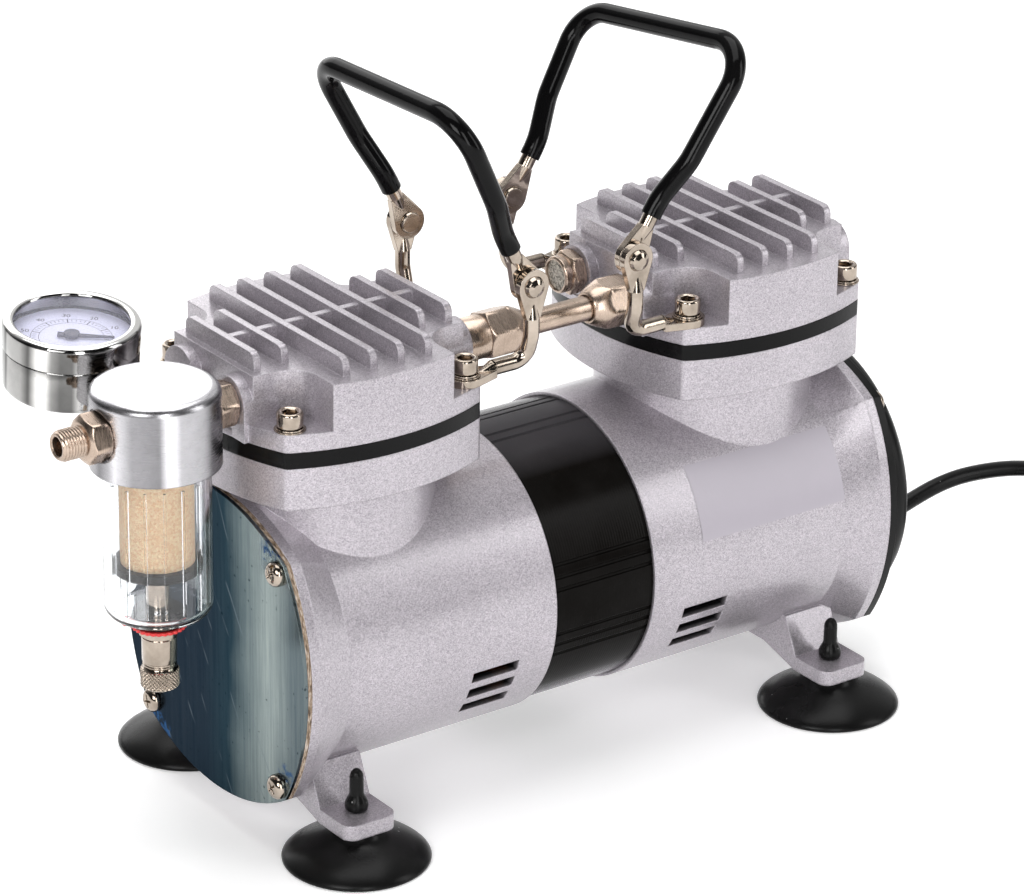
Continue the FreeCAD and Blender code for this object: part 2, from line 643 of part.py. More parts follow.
def housing(label, inner_reach, outer_reach, x, turn=None):
    """One casting: barrel, end flange, neck and deck, bearing wall, foot bar, cooling slots.

    Local X = 0 is the cylinder axis, +X faces the stator and Z = 0 is the motor axis.
    """
    body = new_body(label)
    neck_height = s.deck_rise
    low = s.foot_bottom - s.axis_height
    step = low + s.foot_thickness
    top = -s.ramp_drop

    barrel = new_sketch(body, "YZ_Plane", -outer_reach)
    circle(barrel, 0, 0, s.barrel_radius)
    pad(body, barrel, inner_reach + outer_reach)

    shoulder = body.newObject("PartDesign::AdditiveLoft", label + "_shoulder")
    small = new_sketch(body, "YZ_Plane", s.flange_thickness + s.shoulder_length - outer_reach)
    barrel_arcs(small)
    large = new_sketch(body, "YZ_Plane", s.flange_thickness - outer_reach)
    bulged_square(large, flange_corner, flange_bulge)
    shoulder.Profile = small
    shoulder.Sections = [(large, [""])]
    shoulder.Ruled = True
    body.Tip = shoulder

    flange = new_sketch(body, "YZ_Plane", -outer_reach)
    bulged_square(flange, flange_corner, flange_bulge)
    pad(body, flange, s.flange_thickness)

    neck = new_sketch(body, "XY_Plane")
    circle(neck, 0, 0, s.neck_radius)
    pad(body, neck, neck_height)

    deck = new_sketch(body, "XY_Plane", neck_height - s.deck_thickness)
    bulged_square(deck, s.plan_corner, s.plan_bulge)
    pad(body, deck, s.deck_thickness)

    foot = new_sketch(body, "YZ_Plane", head_x - s.foot_offset - s.foot_width / 2)
    outline(foot, [(-s.foot_reach, low), (-s.ramp_start, low), (-s.foot_arch, low + s.foot_rise),
                   (s.foot_arch, low + s.foot_rise), (s.ramp_start, low),
                   (s.foot_reach, low), (s.foot_reach, step),
                   (s.ramp_start, step), (s.ramp_end, top), (-s.ramp_end, top),
                   (-s.ramp_start, step), (-s.foot_reach, step)])
    bar = pad(body, foot, s.foot_width)

    # Motor cavity with the stator's register, bearing seat and crankcase, turned as one groove
    cavity = new_sketch(body, "XZ_Plane")
    bore = s.barrel_radius - s.barrel_wall
    seat = s.bearing_radius + s.seat_gap
    wall_crank = s.bearing_wall_reach
    wall_motor = s.bearing_wall_reach + s.bearing_wall
    lap = inner_reach - s.stator_lap
    outline(cavity, [(-outer_reach, 0), (inner_reach, 0),
                     (inner_reach, stator_radius + s.seat_gap),
                     (lap, stator_radius + s.seat_gap), (lap, bore), (wall_motor, bore),
                     (wall_motor, seat), (wall_crank, seat),
                     (wall_crank, crankcase_radius), (-outer_reach, crankcase_radius)])
    revolve(body, cavity, "H_Axis", cut=True)

    # Cylinder bore from the deck down into the crankcase
    cylinder_bore = new_sketch(body, "XY_Plane", neck_height)
    circle(cylinder_bore, 0, 0, s.bore_radius + s.liner_wall + s.seat_gap)
    pocket(body, cylinder_bore, s.deck_rise - liner_rise)
    skirt_bore = new_sketch(body, "XY_Plane", liner_rise)
    circle(skirt_bore, 0, 0, s.bore_radius + s.seat_gap)
    pocket(body, skirt_bore, s.skirt_relief)

    # Threaded holes for the head screws and the end cover screws
    head_holes = new_sketch(body, "XY_Plane", neck_height)
    for across, along in FOUR_CORNERS:
        circle(head_holes, across * s.screw_offset, along * s.screw_offset,
               s.screw_radius + s.seat_gap)
    pocket(body, head_holes, s.deck_thickness)
    cover_holes = new_sketch(body, "YZ_Plane", -outer_reach)
    for across, along in FOUR_CORNERS:
        circle(cover_holes, across * cover_screw_offset, along * cover_screw_offset,
               s.cover_screw_radius + s.seat_gap)
    pocket(body, cover_holes, s.cover_hole_depth, back=True)

    # Cooling slots on both sides of the motor cavity
    slot = new_sketch(body, "XZ_Plane", s.barrel_radius)
    slot_end = inner_reach - s.vent_inset
    slot_top = s.vent_height / 2 - s.vent_drop
    for step_down in range(3):
        upper = slot_top - s.vent_pitch * step_down
        outline(slot, [(slot_end - s.vent_length, upper - s.vent_height),
                       (slot_end, upper - s.vent_height), (slot_end, upper),
                       (slot_end - s.vent_length, upper)])
    slots = pocket(body, slot, s.barrel_wall * 4.5)
    mirror_of(body, [slots], "XZ_Plane")

    # Holes for the suction cups, then the rounded corners of the pads
    cups = new_sketch(body, "XY_Plane", step)
    for side in (-1, 1):
        circle(cups, head_x - s.foot_offset, side * s.cup_offset,
               s.cup_stem_radius + s.running_gap)
    last = pocket(body, cups, s.foot_thickness)
    reach = float(s.foot_reach)
    last = round_edges(body, last, s.foot_rounding, lambda edge: is_upright(edge)
                       and abs(abs(edge.Vertexes[0].Y) - reach) < 0.01)
    corner = float(s.plan_corner)
    deck_low = float(neck_height - s.deck_thickness)
    round_edges(body, last, s.plan_rounding, lambda edge: is_upright(edge)
                and abs(abs(edge.Vertexes[0].X) - corner) < 0.01
                and abs(abs(edge.Vertexes[0].Y) - corner) < 0.01
                and min(vertex.Z for vertex in edge.Vertexes) > deck_low - 0.01)
    locate(body, x, 0, s.axis_height, turn)
    return node(body, label)


FOUR_CORNERS = [(1, -1), (1, 1), (-1, 1), (-1, -1)]

housing("housing_left", s.left_inner_reach, s.left_outer_reach, -head_x)
housing("housing_right", s.right_inner_reach, s.right_outer_reach, head_x, HALF_TURN)


# Motor

stack_start = place("stack_start", left_face - s.stator_lap)
stack_length = place("stack_length", right_face - left_face + 2 * s.stator_lap)
GROOVE_ANGLES = (9.5, 14.5, 19.5, 78, 83)


def stator_core():
    """The lamination stack with groups of shallow grooves along its outside."""
    body = new_body("stator_core")
    ring = new_sketch(body, "YZ_Plane")
    circle(ring, 0, 0, stator_radius)
    circle(ring, 0, 0, s.stator_bore)
    pad(body, ring, stack_length)
    grooves = new_sketch(body, "YZ_Plane")
    for angle in GROOVE_ANGLES:
        for side in (-1, 1):
            for level in (-1, 1):
                circle(grooves, stator_radius * (side * math.cos(math.radians(angle))),
                       stator_radius * (level * math.sin(math.radians(angle))),
                       s.groove_radius)
    pocket(body, grooves, stack_length, back=True)
    locate(body, stack_start, 0, s.axis_height)
    return node(body, "stator_core")


def winding(label, x, turn):
    """One set of end turns, a rounded ring against the stack."""
    inner, outer, length = s.winding_inner, stator_radius - s.winding_inset, s.winding_length
    bevel = length / 3
    return turned(label, [(inner, 0), (outer, 0), (outer, length - bevel),
                          (outer - bevel, length), (inner + bevel, length),
                          (inner, length - bevel)], x, 0, s.axis_height, turn)


def ball_bearing(label, bore_gap, x, z, turn):
    """A closed ball bearing, its shields set back from both faces."""
    inner, outer, width = s.shaft_radius + bore_gap, s.bearing_radius, s.bearing_width
    race = (outer - inner) / 3
    recess = width / 16
    profile = [(inner, 0), (inner + race, 0), (inner + race, recess),
               (outer - race, recess), (outer - race, 0), (outer, 0), (outer, width),
               (outer - race, width), (outer - race, width - recess),
               (inner + race, width - recess), (inner + race, width), (inner, width)]
    return turned(label, profile, x, 0, z, turn)


def fan(label, x, turn):
    """A radial fan: hub, back disc and straight blades, moulded in one."""
    body = new_body(label)
    hub = new_sketch(body, "XZ_Plane")
    bore = s.shaft_middle + s.seat_gap
    back = s.fan_width - s.fan_sheet
    outline(hub, [(bore, 0), (bore + s.fan_sheet * 2, 0), (bore + s.fan_sheet * 2, back),
                  (s.fan_radius, back), (s.fan_radius, s.fan_width), (bore, s.fan_width)])
    revolve(body, hub)
    blade = new_sketch(body, "XY_Plane")
    half = s.fan_sheet / 2
    outline(blade, [(bore + s.fan_sheet, -half), (s.fan_radius, -half),
                    (s.fan_radius, half), (bore + s.fan_sheet, half)])
    vane = pad(body, blade, s.fan_width)
    ring_of(body, vane, blade, 9)
    locate(body, x, 0, s.axis_height, turn)
    return body


def crank(label, x, turn):
    """Web, counterweight and overhung crank pin; local +X is the pin's side."""
    body = new_body(label)
    hub = new_sketch(body, "XY_Plane")
    circle(hub, 0, 0, s.web_radius)
    pad(body, hub, s.web_thickness)
    weight = new_sketch(body, "XY_Plane")
    edge = s.counterweight_radius / 3
    half = s.counterweight_radius - 2
    outline(weight, [(-edge, half), (-edge, -half)], [s.counterweight_radius, None])
    pad(body, weight, s.web_thickness)
    shoulder = new_sketch(body, "XY_Plane", s.web_thickness)
    circle(shoulder, s.crank_throw, 0, s.shaft_middle)
    pad(body, shoulder, bearing_start - s.web_thickness)
    pin = new_sketch(body, "XY_Plane", bearing_start)
    circle(pin, s.crank_throw, 0, s.shaft_radius)
    pad(body, pin, s.bearing_width + 1)
    locate(body, x, 0, s.axis_height, turn)
    return body


web_x = place("web_x", head_x - s.bearing_wall_reach + s.web_gap)
bearing_start = place("bearing_start", head_x - s.bearing_width / 2 - web_x)
shaft_step = place("shaft_step", head_x - s.bearing_wall_reach - s.bearing_wall - s.web_gap)
rotor_radius = place("rotor_radius", s.stator_bore - s.air_gap)

stator_core()
node(group("stator_windings_group", [
    winding("winding_left", stack_start, TO_MINUS_X),
    winding("winding_right", stack_start + stack_length, TO_PLUS_X)]), "stator_windings")
node(turned("motor_shaft", [
    (0, -web_x), (s.shaft_radius, -web_x), (s.shaft_radius, -shaft_step),
    (s.shaft_middle, -shaft_step), (s.shaft_middle, shaft_step),
    (s.shaft_radius, shaft_step), (s.shaft_radius, web_x), (0, web_x)],
    0, 0, s.axis_height, TO_PLUS_X), "motor_shaft")
rotor_bore = s.shaft_middle + s.seat_gap
node(turned("rotor_core", [
    (rotor_bore, 0), (rotor_radius, 0), (rotor_radius, stack_length),
    (rotor_bore, stack_length)], stack_start, 0, s.axis_height, TO_PLUS_X), "rotor_core")
node(group("main_bearings_group", [
    ball_bearing("main_bearing_left", s.running_gap, s.bearing_wall_reach - head_x,
                 s.axis_height, TO_PLUS_X),
    ball_bearing("main_bearing_right", s.running_gap, head_x - s.bearing_wall_reach,
                 s.axis_height, TO_MINUS_X)]), "main_bearings")
node(group("cooling_fans_group", [
    fan("fan_left", -s.fan_start, TO_MINUS_X),
    fan("fan_right", s.fan_start, TO_PLUS_X)]), "cooling_fans")
node(group("cranks_group", [
    crank("crank_left", -web_x, TO_MINUS_X),
    crank("crank_right", web_x, TO_PLUS_X)]), "cranks")
node(group("rod_bearings_group", [
    ball_bearing("rod_bearing_left", s.seat_gap, s.bearing_width / 2 - head_x,
                 s.axis_height + s.crank_throw, TO_MINUS_X),
    ball_bearing("rod_bearing_right", s.seat_gap, head_x - s.bearing_width / 2,
                 s.axis_height - s.crank_throw, TO_PLUS_X)]), "rod_bearings")


# Rods, pistons and cylinders. The left piston rests at the top of its stroke.

def rod(label, x, crank_height):
    """Connecting rod: bearing ring, tapered shank and small end, open for the wrist pin."""
    body = new_body(label)
    back = -s.bearing_width / 2
    ring = s.bearing_radius + s.running_gap
    for centre, radius in ((0, ring + s.big_end_wall), (rod_length, s.small_end_radius)):
        eye = new_sketch(body, "YZ_Plane", back)
        circle(eye, 0, centre, radius)
        pad(body, eye, s.bearing_width)
        if centre == 0:
            shank = new_sketch(body, "YZ_Plane", back)
            wide, narrow = s.small_end_radius * 1.4, s.small_end_radius * 0.8
            outline(shank, [(-wide, ring), (wide, ring), (narrow, rod_length),
                            (-narrow, rod_length)])
            pad(body, shank, s.bearing_width)
    holes = new_sketch(body, "YZ_Plane", back)
    circle(holes, 0, 0, ring)
    circle(holes, 0, rod_length, s.wrist_pin_radius + s.seat_gap)
    pocket(body, holes, s.bearing_width, back=True)
    locate(body, x, 0, crank_height)
    return node(body, label)


def piston(label, x, crown_z):
    """Cup-shaped piston with two bosses beside the rod's small end."""
    body = new_body(label)
    outer = s.bore_radius - s.running_gap
    inner = outer - s.piston_skirt
    skirt = new_sketch(body, "XZ_Plane")
    outline(skirt, [(0, -s.piston_crown), (inner, -s.piston_crown),
                    (inner, -s.piston_height), (outer, -s.piston_height), (outer, 0), (0, 0)])
    revolve(body, skirt)
    boss_start = s.wrist_pin_half + 1
    for back in (False, True):
        boss = new_sketch(body, "YZ_Plane", -boss_start if back else boss_start)
        circle(boss, 0, -s.piston_pin_drop, s.small_end_radius)
        pad(body, boss, inner + 0.5 - boss_start, back=back)
    locate(body, x, 0, crown_z)
    return node(body, label)


def wrist_pin(label, x, crank_height):
    return node(cylinder(label, s.wrist_pin_radius, 2 * s.wrist_pin_half,
                         x - s.wrist_pin_half + shift, 0, crank_height + rod_length,
                         TO_PLUS_X), label)


liners = []
for side, name, throw in ((-1, "left", 1), (1, "right", -1)):
    x = side * head_x
    pin_z = s.axis_height + throw * s.crank_throw
    crown = pin_z + rod_length + s.piston_pin_drop
    rod("rod_" + name, x, pin_z)
    piston("piston_" + name, x, crown)
    wrist_pin("wrist_pin_" + name, x, pin_z)
    liners.append(turned("liner_" + name, tube_profile(
        s.bore_radius, s.bore_radius + s.liner_wall, 0, s.deck_rise - liner_rise),
        x, 0, liner_bottom))
node(group("cylinder_liners_group", liners), "cylinder_liners")


# Cylinder heads


def screw_holes(body, lift, depth, radius):
    holes = new_sketch(body, "XY_Plane", lift)
    for across, along in FOUR_CORNERS:
        circle(holes, across * s.screw_offset, along * s.screw_offset, radius)
    return pocket(body, holes, depth)


def round_plan(body, base):
    """Round the four corners of a piece with the bulged head plan."""
    corner = float(s.plan_corner)
    return round_edges(body, base, s.plan_rounding, lambda edge: is_upright(edge)
                       and abs(abs(edge.Vertexes[0].X) - corner) < 0.01
                       and abs(abs(edge.Vertexes[0].Y) - corner) < 0.01)


def valve_plate(label, x):
    """The black plate: inlet holes at the front, outlet holes at the back."""
    body = new_body(label)
    plan = new_sketch(body, "XY_Plane")
    bulged_square(plan, s.plan_corner, s.plan_bulge)
    round_plan(body, pad(body, plan, s.valve_plate_thickness))
    holes = new_sketch(body, "XY_Plane", s.valve_plate_thickness)
    for row in (-1, 1):
        for column in (-1, 0, 1):
            circle(holes, column * s.port_radius * 1.2, row * s.bore_radius / 2,
                   s.port_radius / 3)
    pocket(body, holes, s.valve_plate_thickness)
    recess = new_sketch(body, "XY_Plane")
    reed_outline(recess, -s.bore_radius / 2, s.running_gap * 2)
    pocket(body, recess, s.reed_thickness + s.running_gap, back=True)
    screw_holes(body, s.valve_plate_thickness, s.valve_plate_thickness,
                s.screw_radius + s.running_gap)
    locate(body, x, 0, deck_height)
    return body


def reed_outline(sketch, y, margin):
    half_length, half_width = s.reed_length / 2 + margin, s.reed_width / 2 + margin
    outline(sketch, [(-half_length, y - half_width), (half_length, y - half_width),
                     (half_length, y + half_width), (-half_length, y + half_width)])


def reed(label, x, y, z):
    body = new_body(label)
    sketch = new_sketch(body, "XY_Plane")
    reed_outline(sketch, y, 0)
    pad(body, sketch, s.reed_thickness)
    locate(body, x, 0, z)
    return body


def cylinder_head(label, x, open_ports):
    """Finned head: bulged flange, body with corner pockets, ribs, bosses and gas chambers.

    open_ports lists (end, row) pairs: end -1 or 1 along X, row -1 or 1 along Y.
    """
    body = new_body(label)
    body_top = s.head_flange + s.head_body
    plan = new_sketch(body, "XY_Plane")
    bulged_square(plan, s.plan_corner, s.plan_bulge)
    round_plan(body, pad(body, plan, s.head_flange))

    # The body above the flange: arcs at the front and back, a round pocket at each corner
    sagitta = s.plan_bulge - s.plan_corner
    bulge_radius = (s.plan_corner * s.plan_corner + sagitta * sagitta) / (2 * sagitta)
    inset, side, pocket_end = s.notch_inset, s.head_side, s.notch_inset + s.notch_radius
    front = s.plan_bulge - bulge_radius + root(bulge_radius * bulge_radius - inset * inset)
    around = [((side, -inset), None), ((side, inset), None),
              ((pocket_end, inset), -s.notch_radius), ((inset, pocket_end), None),
              ((inset, front), bulge_radius), ((-inset, front), None),
              ((-inset, pocket_end), -s.notch_radius), ((-pocket_end, inset), None),
              ((-side, inset), None), ((-side, -inset), None),
              ((-pocket_end, -inset), -s.notch_radius), ((-inset, -pocket_end), None),
              ((-inset, -front), bulge_radius), ((inset, -front), None),
              ((inset, -pocket_end), -s.notch_radius), ((pocket_end, -inset), None)]
    upper = new_sketch(body, "XY_Plane", s.head_flange)
    outline(upper, [corner for corner, radius in around],
            [radius for corner, radius in around])
    pad(body, upper, s.head_body)

    # Bosses round the ports on both ends
    arch = new_sketch(body, "YZ_Plane", s.notch_inset)
    foot = new_sketch(body, "YZ_Plane", s.notch_inset)
    for row in (-1, 1):
        y = row * s.port_offset
        circle(arch, y, s.port_rise, s.boss_radius)
        outline(foot, [(y - s.boss_radius, 0), (y + s.boss_radius, 0),
                       (y + s.boss_radius, s.port_rise), (y - s.boss_radius, s.port_rise)])
    bosses = [pad(body, item, s.boss_reach - s.notch_inset) for item in (arch, foot)]
    mirror_of(body, bosses, "YZ_Plane")

    # Cooling fins, and the rib that crosses them
    high, bend = body_top + s.fin_height, s.fin_rounding
    for half_span, first, count in ((s.fin_long, -1.5, 4), (s.fin_short, -3.5, 2),
                                    (s.fin_short, 2.5, 2)):
        fin = new_sketch(body, "YZ_Plane", s.fin_pitch * first - s.fin_thickness / 2)
        outline(fin, [(-half_span, body_top), (half_span, body_top),
                      (half_span, high - bend), (half_span - bend, high),
                      (bend - half_span, high), (-half_span, high - bend)],
                [None, None, bend, None, bend, None])
        one = pad(body, fin, s.fin_thickness)
        row_of(body, one, fin, "N_Axis", s.fin_pitch * (count - 1), count)
    rib = new_sketch(body, "XZ_Plane", -s.fin_thickness / 2)
    reach = 3.5 * s.fin_pitch
    outline(rib, [(-reach, body_top), (reach, body_top),
                  (reach, body_top + s.fin_height * 0.8),
                  (-reach, body_top + s.fin_height * 0.8)])
    pad(body, rib, s.fin_thickness)

    # Inlet chamber at the front, outlet chamber at the back
    chambers = new_sketch(body, "XY_Plane")
    wide, near = s.boss_reach - s.port_depth + 1, s.fin_thickness * 1.5
    for row in (-1, 1):
        low, high = sorted((row * near, row * s.notch_inset), key=float)
        outline(chambers, [(-wide, low), (wide, low), (wide, high), (-wide, high)])
    pocket(body, chambers, s.chamber_depth, back=True)
    for end, row in open_ports:
        for radius, start, depth in (
                (s.boss_radius, s.plan_bulge, s.plan_bulge - s.boss_reach),
                (s.port_radius, s.boss_reach, s.port_depth)):
            port = new_sketch(body, "YZ_Plane", end * start)
            circle(port, row * s.port_offset, s.port_rise, radius)
            pocket(body, port, depth, back=end < 0)
    screw_holes(body, s.head_flange, s.head_flange, s.screw_radius + s.running_gap)
    locate(body, x, 0, plate_top)
    return node(body, label)


node(group("valve_plates_group", [
    valve_plate("valve_plate_left", -head_x),
    valve_plate("valve_plate_right", head_x)]), "valve_plates")
reeds = []
for side, name in ((-1, "left"), (1, "right")):
    x = side * head_x
    reeds.append(reed("inlet_reed_" + name, x, -s.bore_radius / 2,
                      deck_height + s.running_gap))
    reeds.append(reed("outlet_reed_" + name, x, s.bore_radius / 2, plate_top))
node(group("valve_reeds_group", reeds), "valve_reeds")
cylinder_head("cylinder_head_left", -head_x, [(-1, -1), (1, -1), (1, 1)])
cylinder_head("cylinder_head_right", head_x, [(-1, -1), (-1, 1)])


# Fasteners

def copy_of(master, label, x, y, z, turn=None):
    """Another solid of the same make, at its own place."""
    link = doc.addObject("App::Link", label)
    link.LinkedObject = master
    locate(link, x, y, z, turn)
    return link


chamfer = s.screw_head_height / 10
screw_master = lathe("cap_screw", [
    (0, -s.screw_length), (s.screw_radius, -s.screw_length), (s.screw_radius, 0),
    (s.screw_head_radius, 0), (s.screw_head_radius, s.screw_head_height - chamfer),
    (s.screw_head_radius - chamfer, s.screw_head_height), (0, s.screw_head_height)])
washer_master = lathe("washer", tube_profile(
    s.screw_radius + s.running_gap, s.washer_radius, 0, s.washer_thickness))
rim = s.cover_screw_dome / 3
pan_master = lathe("pan_screw", [
    (0, -s.cover_screw_length), (s.cover_screw_radius, -s.cover_screw_length),
    (s.cover_screw_radius, 0), (s.cover_screw_head, 0), (s.cover_screw_head, rim),
    (s.cover_screw_head - rim, s.cover_screw_dome), (0, s.cover_screw_dome)])
screws, washers, cover_screws = [], [], []
for side in (-1, 1):
    face, turn = (plate_face, TO_MINUS_X) if side < 0 else (right_end + s.cap_rim, TO_PLUS_X)
    for across, along in FOUR_CORNERS:
        tag = "%d" % (len(screws) + 1)
        x, y = side * head_x + across * s.screw_offset, along * s.screw_offset
        under = flange_top + s.strip_thickness if across == -side else flange_top
        washers.append(copy_of(washer_master, "washer_" + tag, x, y, under))
        screws.append(copy_of(screw_master, "screw_" + tag, x, y, under + s.washer_thickness))
        cover_screws.append(copy_of(
            pan_master, "cover_screw_" + tag, face, across * cover_screw_offset,
            s.axis_height + along * cover_screw_offset, turn))
node(group("head_screws_group", screws), "head_screws")
node(group("head_washers_group", washers), "head_washers")
node(group("cover_screws_group", cover_screws), "cover_screws")


# Ends

def cover_layer(label, thickness, x, opening=None):
    """A flat layer with the end flange's outline and its four screw holes."""
    body = new_body(label)
    plan = new_sketch(body, "YZ_Plane")
    bulged_square(plan, flange_corner, flange_bulge)
    for across, along in FOUR_CORNERS:
        circle(plan, across * cover_screw_offset, along * cover_screw_offset,
               s.cover_screw_radius + s.running_gap)
    if opening is not None:
        circle(plan, 0, 0, opening)
    pad(body, plan, thickness)
    locate(body, x, 0, s.axis_height)
    return body


def end_cap():
    """Moulded cap: a thin rim under the screws and a hollow, rounded middle."""
    body = cover_layer("end_cap", s.cap_rim, right_end)
    dome = new_sketch(body, "XZ_Plane")
    radius = flange_bulge - s.cap_step
    outline(dome, [(0, 0), (s.cap_depth, 0), (s.cap_depth, radius - s.cap_edge),
                   (s.cap_depth - s.cap_edge, radius), (0, radius)],
            [None, None, s.cap_edge, None, None])
    revolve(body, dome, "H_Axis")
    hollow = new_sketch(body, "XZ_Plane")
    floor = s.cap_depth - s.cap_wall
    inside = radius - s.cap_wall - 1
    outline(hollow, [(0, 0), (floor, 0), (floor, inside - s.cap_edge),
                     (floor - s.cap_edge, inside), (0, inside)],
            [None, None, s.cap_edge, None, None])
    revolve(body, hollow, "H_Axis", cut=True)
    for hole, top, depth in (
            (s.cover_screw_head + 0.6, s.cap_depth, s.cap_depth - s.cap_rim),
            (s.cover_screw_radius + s.running_gap, s.cap_rim, s.cap_rim)):
        holes = new_sketch(body, "YZ_Plane", top)
        for across, along in FOUR_CORNERS:
            circle(holes, across * cover_screw_offset, along * cover_screw_offset, hole)
        pocket(body, holes, depth)
    return node(body, "end_cap")


node(cover_layer("end_gasket", s.gasket_thickness, left_end - s.gasket_thickness,
                 crankcase_radius), "end_gasket")
node(cover_layer("end_plate", s.plate_thickness, plate_face), "end_plate")
end_cap()


# Pipework between the heads

def in_a_row(label, direction, start, y, z, pieces, bore):
    """Round, hexagonal and tapered lengths in a row along X, bored through."""
    turn = TO_PLUS_X if direction > 0 else TO_MINUS_X
    solids, at = [], start + shift
    for index, (kind, size, length) in enumerate(pieces):
        name = "%s_%d" % (label, index + 1)
        if kind == "hex":
            solids.append(hexagon(name, size, length, at, y, z, turn))
        elif kind == "round":
            solids.append(cylinder(name, size, length, at, y, z, turn))
        else:
            solids.append(cone(name, size[0], size[1], length, at, y, z, turn))
        at = at + direction * length
    row = fuse(label + "_row", solids)
    total = pieces[0][2]
    for kind, size, length in pieces[1:]:
        total = total + length
    return cut(label, row, cylinder(label + "_bore", bore, total, start + shift, y, z, turn))


thread = s.port_radius - s.seat_gap
fittings, nuts, silencers = [], [], []
for side, name, collar in ((-1, "left", s.left_collar), (1, "right", s.right_collar)):
    boss_face = side * (head_x - s.boss_reach)
    inside = boss_face + side * s.thread_depth
    front = boss_face - side * collar
    fittings.append(in_a_row("tube_fitting_" + name, -side, inside, -s.port_offset,
                             port_height,
                             [("round", thread, s.thread_depth),
                              ("round", s.collar_radius, collar)],
                             s.tube_radius - s.tube_wall))
    nuts.append(in_a_row("tube_nut_" + name, -side, front, -s.port_offset, port_height,
                         [("hex", s.nut_circle, s.nut_length - s.nut_nose),
                          ("cone", (s.collar_radius, s.tube_radius + 1), s.nut_nose)],
                         s.tube_radius + s.seat_gap))
    plug = in_a_row("silencer_body_" + name, -side, inside, s.port_offset, port_height,
                    [("round", thread, s.thread_depth),
                     ("hex", s.silencer_circle, s.silencer_hex),
                     ("round", s.silencer_radius, s.silencer_front)], s.nipple_bore)
    recess = boss_face - side * (s.silencer_hex + s.silencer_front - 1)
    turn = TO_PLUS_X if side < 0 else TO_MINUS_X
    seat = cylinder("silencer_seat_" + name, s.silencer_disc_radius + s.seat_gap, 2,
                    recess + shift, s.port_offset, port_height, turn)
    silencers.append(cut("silencer_" + name, plug, seat))
    silencers.append(cylinder("silencer_disc_" + name, s.silencer_disc_radius, 1.8,
                              recess + shift, s.port_offset, port_height, turn))
left_tube_end = s.left_collar + s.boss_reach - head_x
right_tube_end = head_x - s.boss_reach - s.right_collar
tube_length = right_tube_end - left_tube_end
node(turned("crossover_tube", tube_profile(
    s.tube_radius - s.tube_wall, s.tube_radius, 0, tube_length),
    left_tube_end, -s.port_offset, port_height, TO_PLUS_X), "crossover_tube")
node(group("tube_fittings_group", fittings), "tube_fittings")
node(group("tube_nuts_group", nuts), "tube_nuts")
node(group("silencers_group", silencers), "silencers")


# Intake filter

filter_x = place("filter_x", -s.filter_offset)
flat = place("filter_flat", s.filter_radius - s.spot_depth)
pocket_roof = place("pocket_roof", filter_bottom + s.filter_pocket)
gauge_turn = Rotation(Vector(1, 0, 0), float(s.gauge_tilt))


def gauge_cylinder(label, radius, length, y, z):
    """A cylinder along the gauge stem, in the gauge's tilted frame, towards the filter."""
    feature = doc.addObject("Part::Cylinder", label)
    for prop, value in (("Radius", radius), ("Height", length)):
        setattr(feature, prop, float(value))
        bind(feature, prop, value)
    start = gauge_turn.multVec(Vector(0, float(y), float(z)))
    locate(feature, filter_x, s.gauge_y + start.y, gauge_z + start.z,
           gauge_turn.multiply(TO_MINUS_Y))
    return feature


def filter_head():
    """Turned head with three flats, cross ports, a bowl thread and the element's seat."""
    body = new_body("filter_head_body")
    top, edge = s.filter_rise + s.filter_skirt, s.filter_edge
    profile = new_sketch(body, "XZ_Plane")
    outline(profile, [(0, 0), (s.filter_radius, 0), (s.filter_radius, top - edge),
                      (s.filter_radius - edge, top), (0, top)],
            [None, None, edge, None, None])
    revolve(body, profile)
    inside = new_sketch(body, "XZ_Plane")
    thread_bore = s.bowl_radius + s.seat_gap
    stud = s.stud_radius + s.seat_gap
    roof = s.filter_pocket + s.filter_chamber_height
    outline(inside, [(0, 0), (thread_bore, 0), (thread_bore, s.filter_pocket),
                     (s.filter_chamber, s.filter_pocket), (s.filter_chamber, roof),
                     (stud, roof), (stud, roof + 4), (0, roof + 4)])
    revolve(body, inside, cut=True)
    level = s.filter_skirt
    for side in (-1, 1):
        for radius, depth in ((s.spot_radius, s.spot_depth), (s.port_radius, s.port_depth)):
            port = new_sketch(body, "YZ_Plane", side * s.filter_radius)
            circle(port, 0, level, radius)
            pocket(body, port, depth, back=side < 0)
    spot = new_sketch(body, "XZ_Plane", -s.filter_radius)
    circle(spot, 0, level, s.spot_radius)
    pocket(body, spot, s.spot_depth, back=True)
    locate(body, filter_x, -s.port_offset, filter_bottom)
    hole = gauge_cylinder("gauge_port", s.gauge_stem_radius + s.seat_gap,
                          s.gauge_height * 1.5, -s.gauge_radius, -s.gauge_stem_drop)
    return node(cut("filter_head_cut", body, hole), "filter_head")


def about_filter(label, profile):
    return node(turned(label, profile, filter_x, -s.port_offset, 0), label)


filter_head()
nipple_inside = nipple_start + s.thread_depth
node(in_a_row("inlet_nipple_row", -1, nipple_inside, -s.port_offset, port_height,
              [("round", thread, s.thread_depth), ("hex", s.nipple_circle, s.nipple_hex),
               ("round", s.nipple_thread_radius, s.nipple_thread)], s.nipple_bore),
     "inlet_nipple")
adapter_end = filter_x + flat
adapter_hex = -(head_x + s.boss_reach) - adapter_end
node(in_a_row("filter_adapter_row", 1, adapter_end - s.thread_depth, -s.port_offset,
              port_height,
              [("round", thread, s.thread_depth), ("hex", s.adapter_circle, adapter_hex),
               ("round", thread, s.thread_depth)], s.nipple_bore), "filter_adapter")


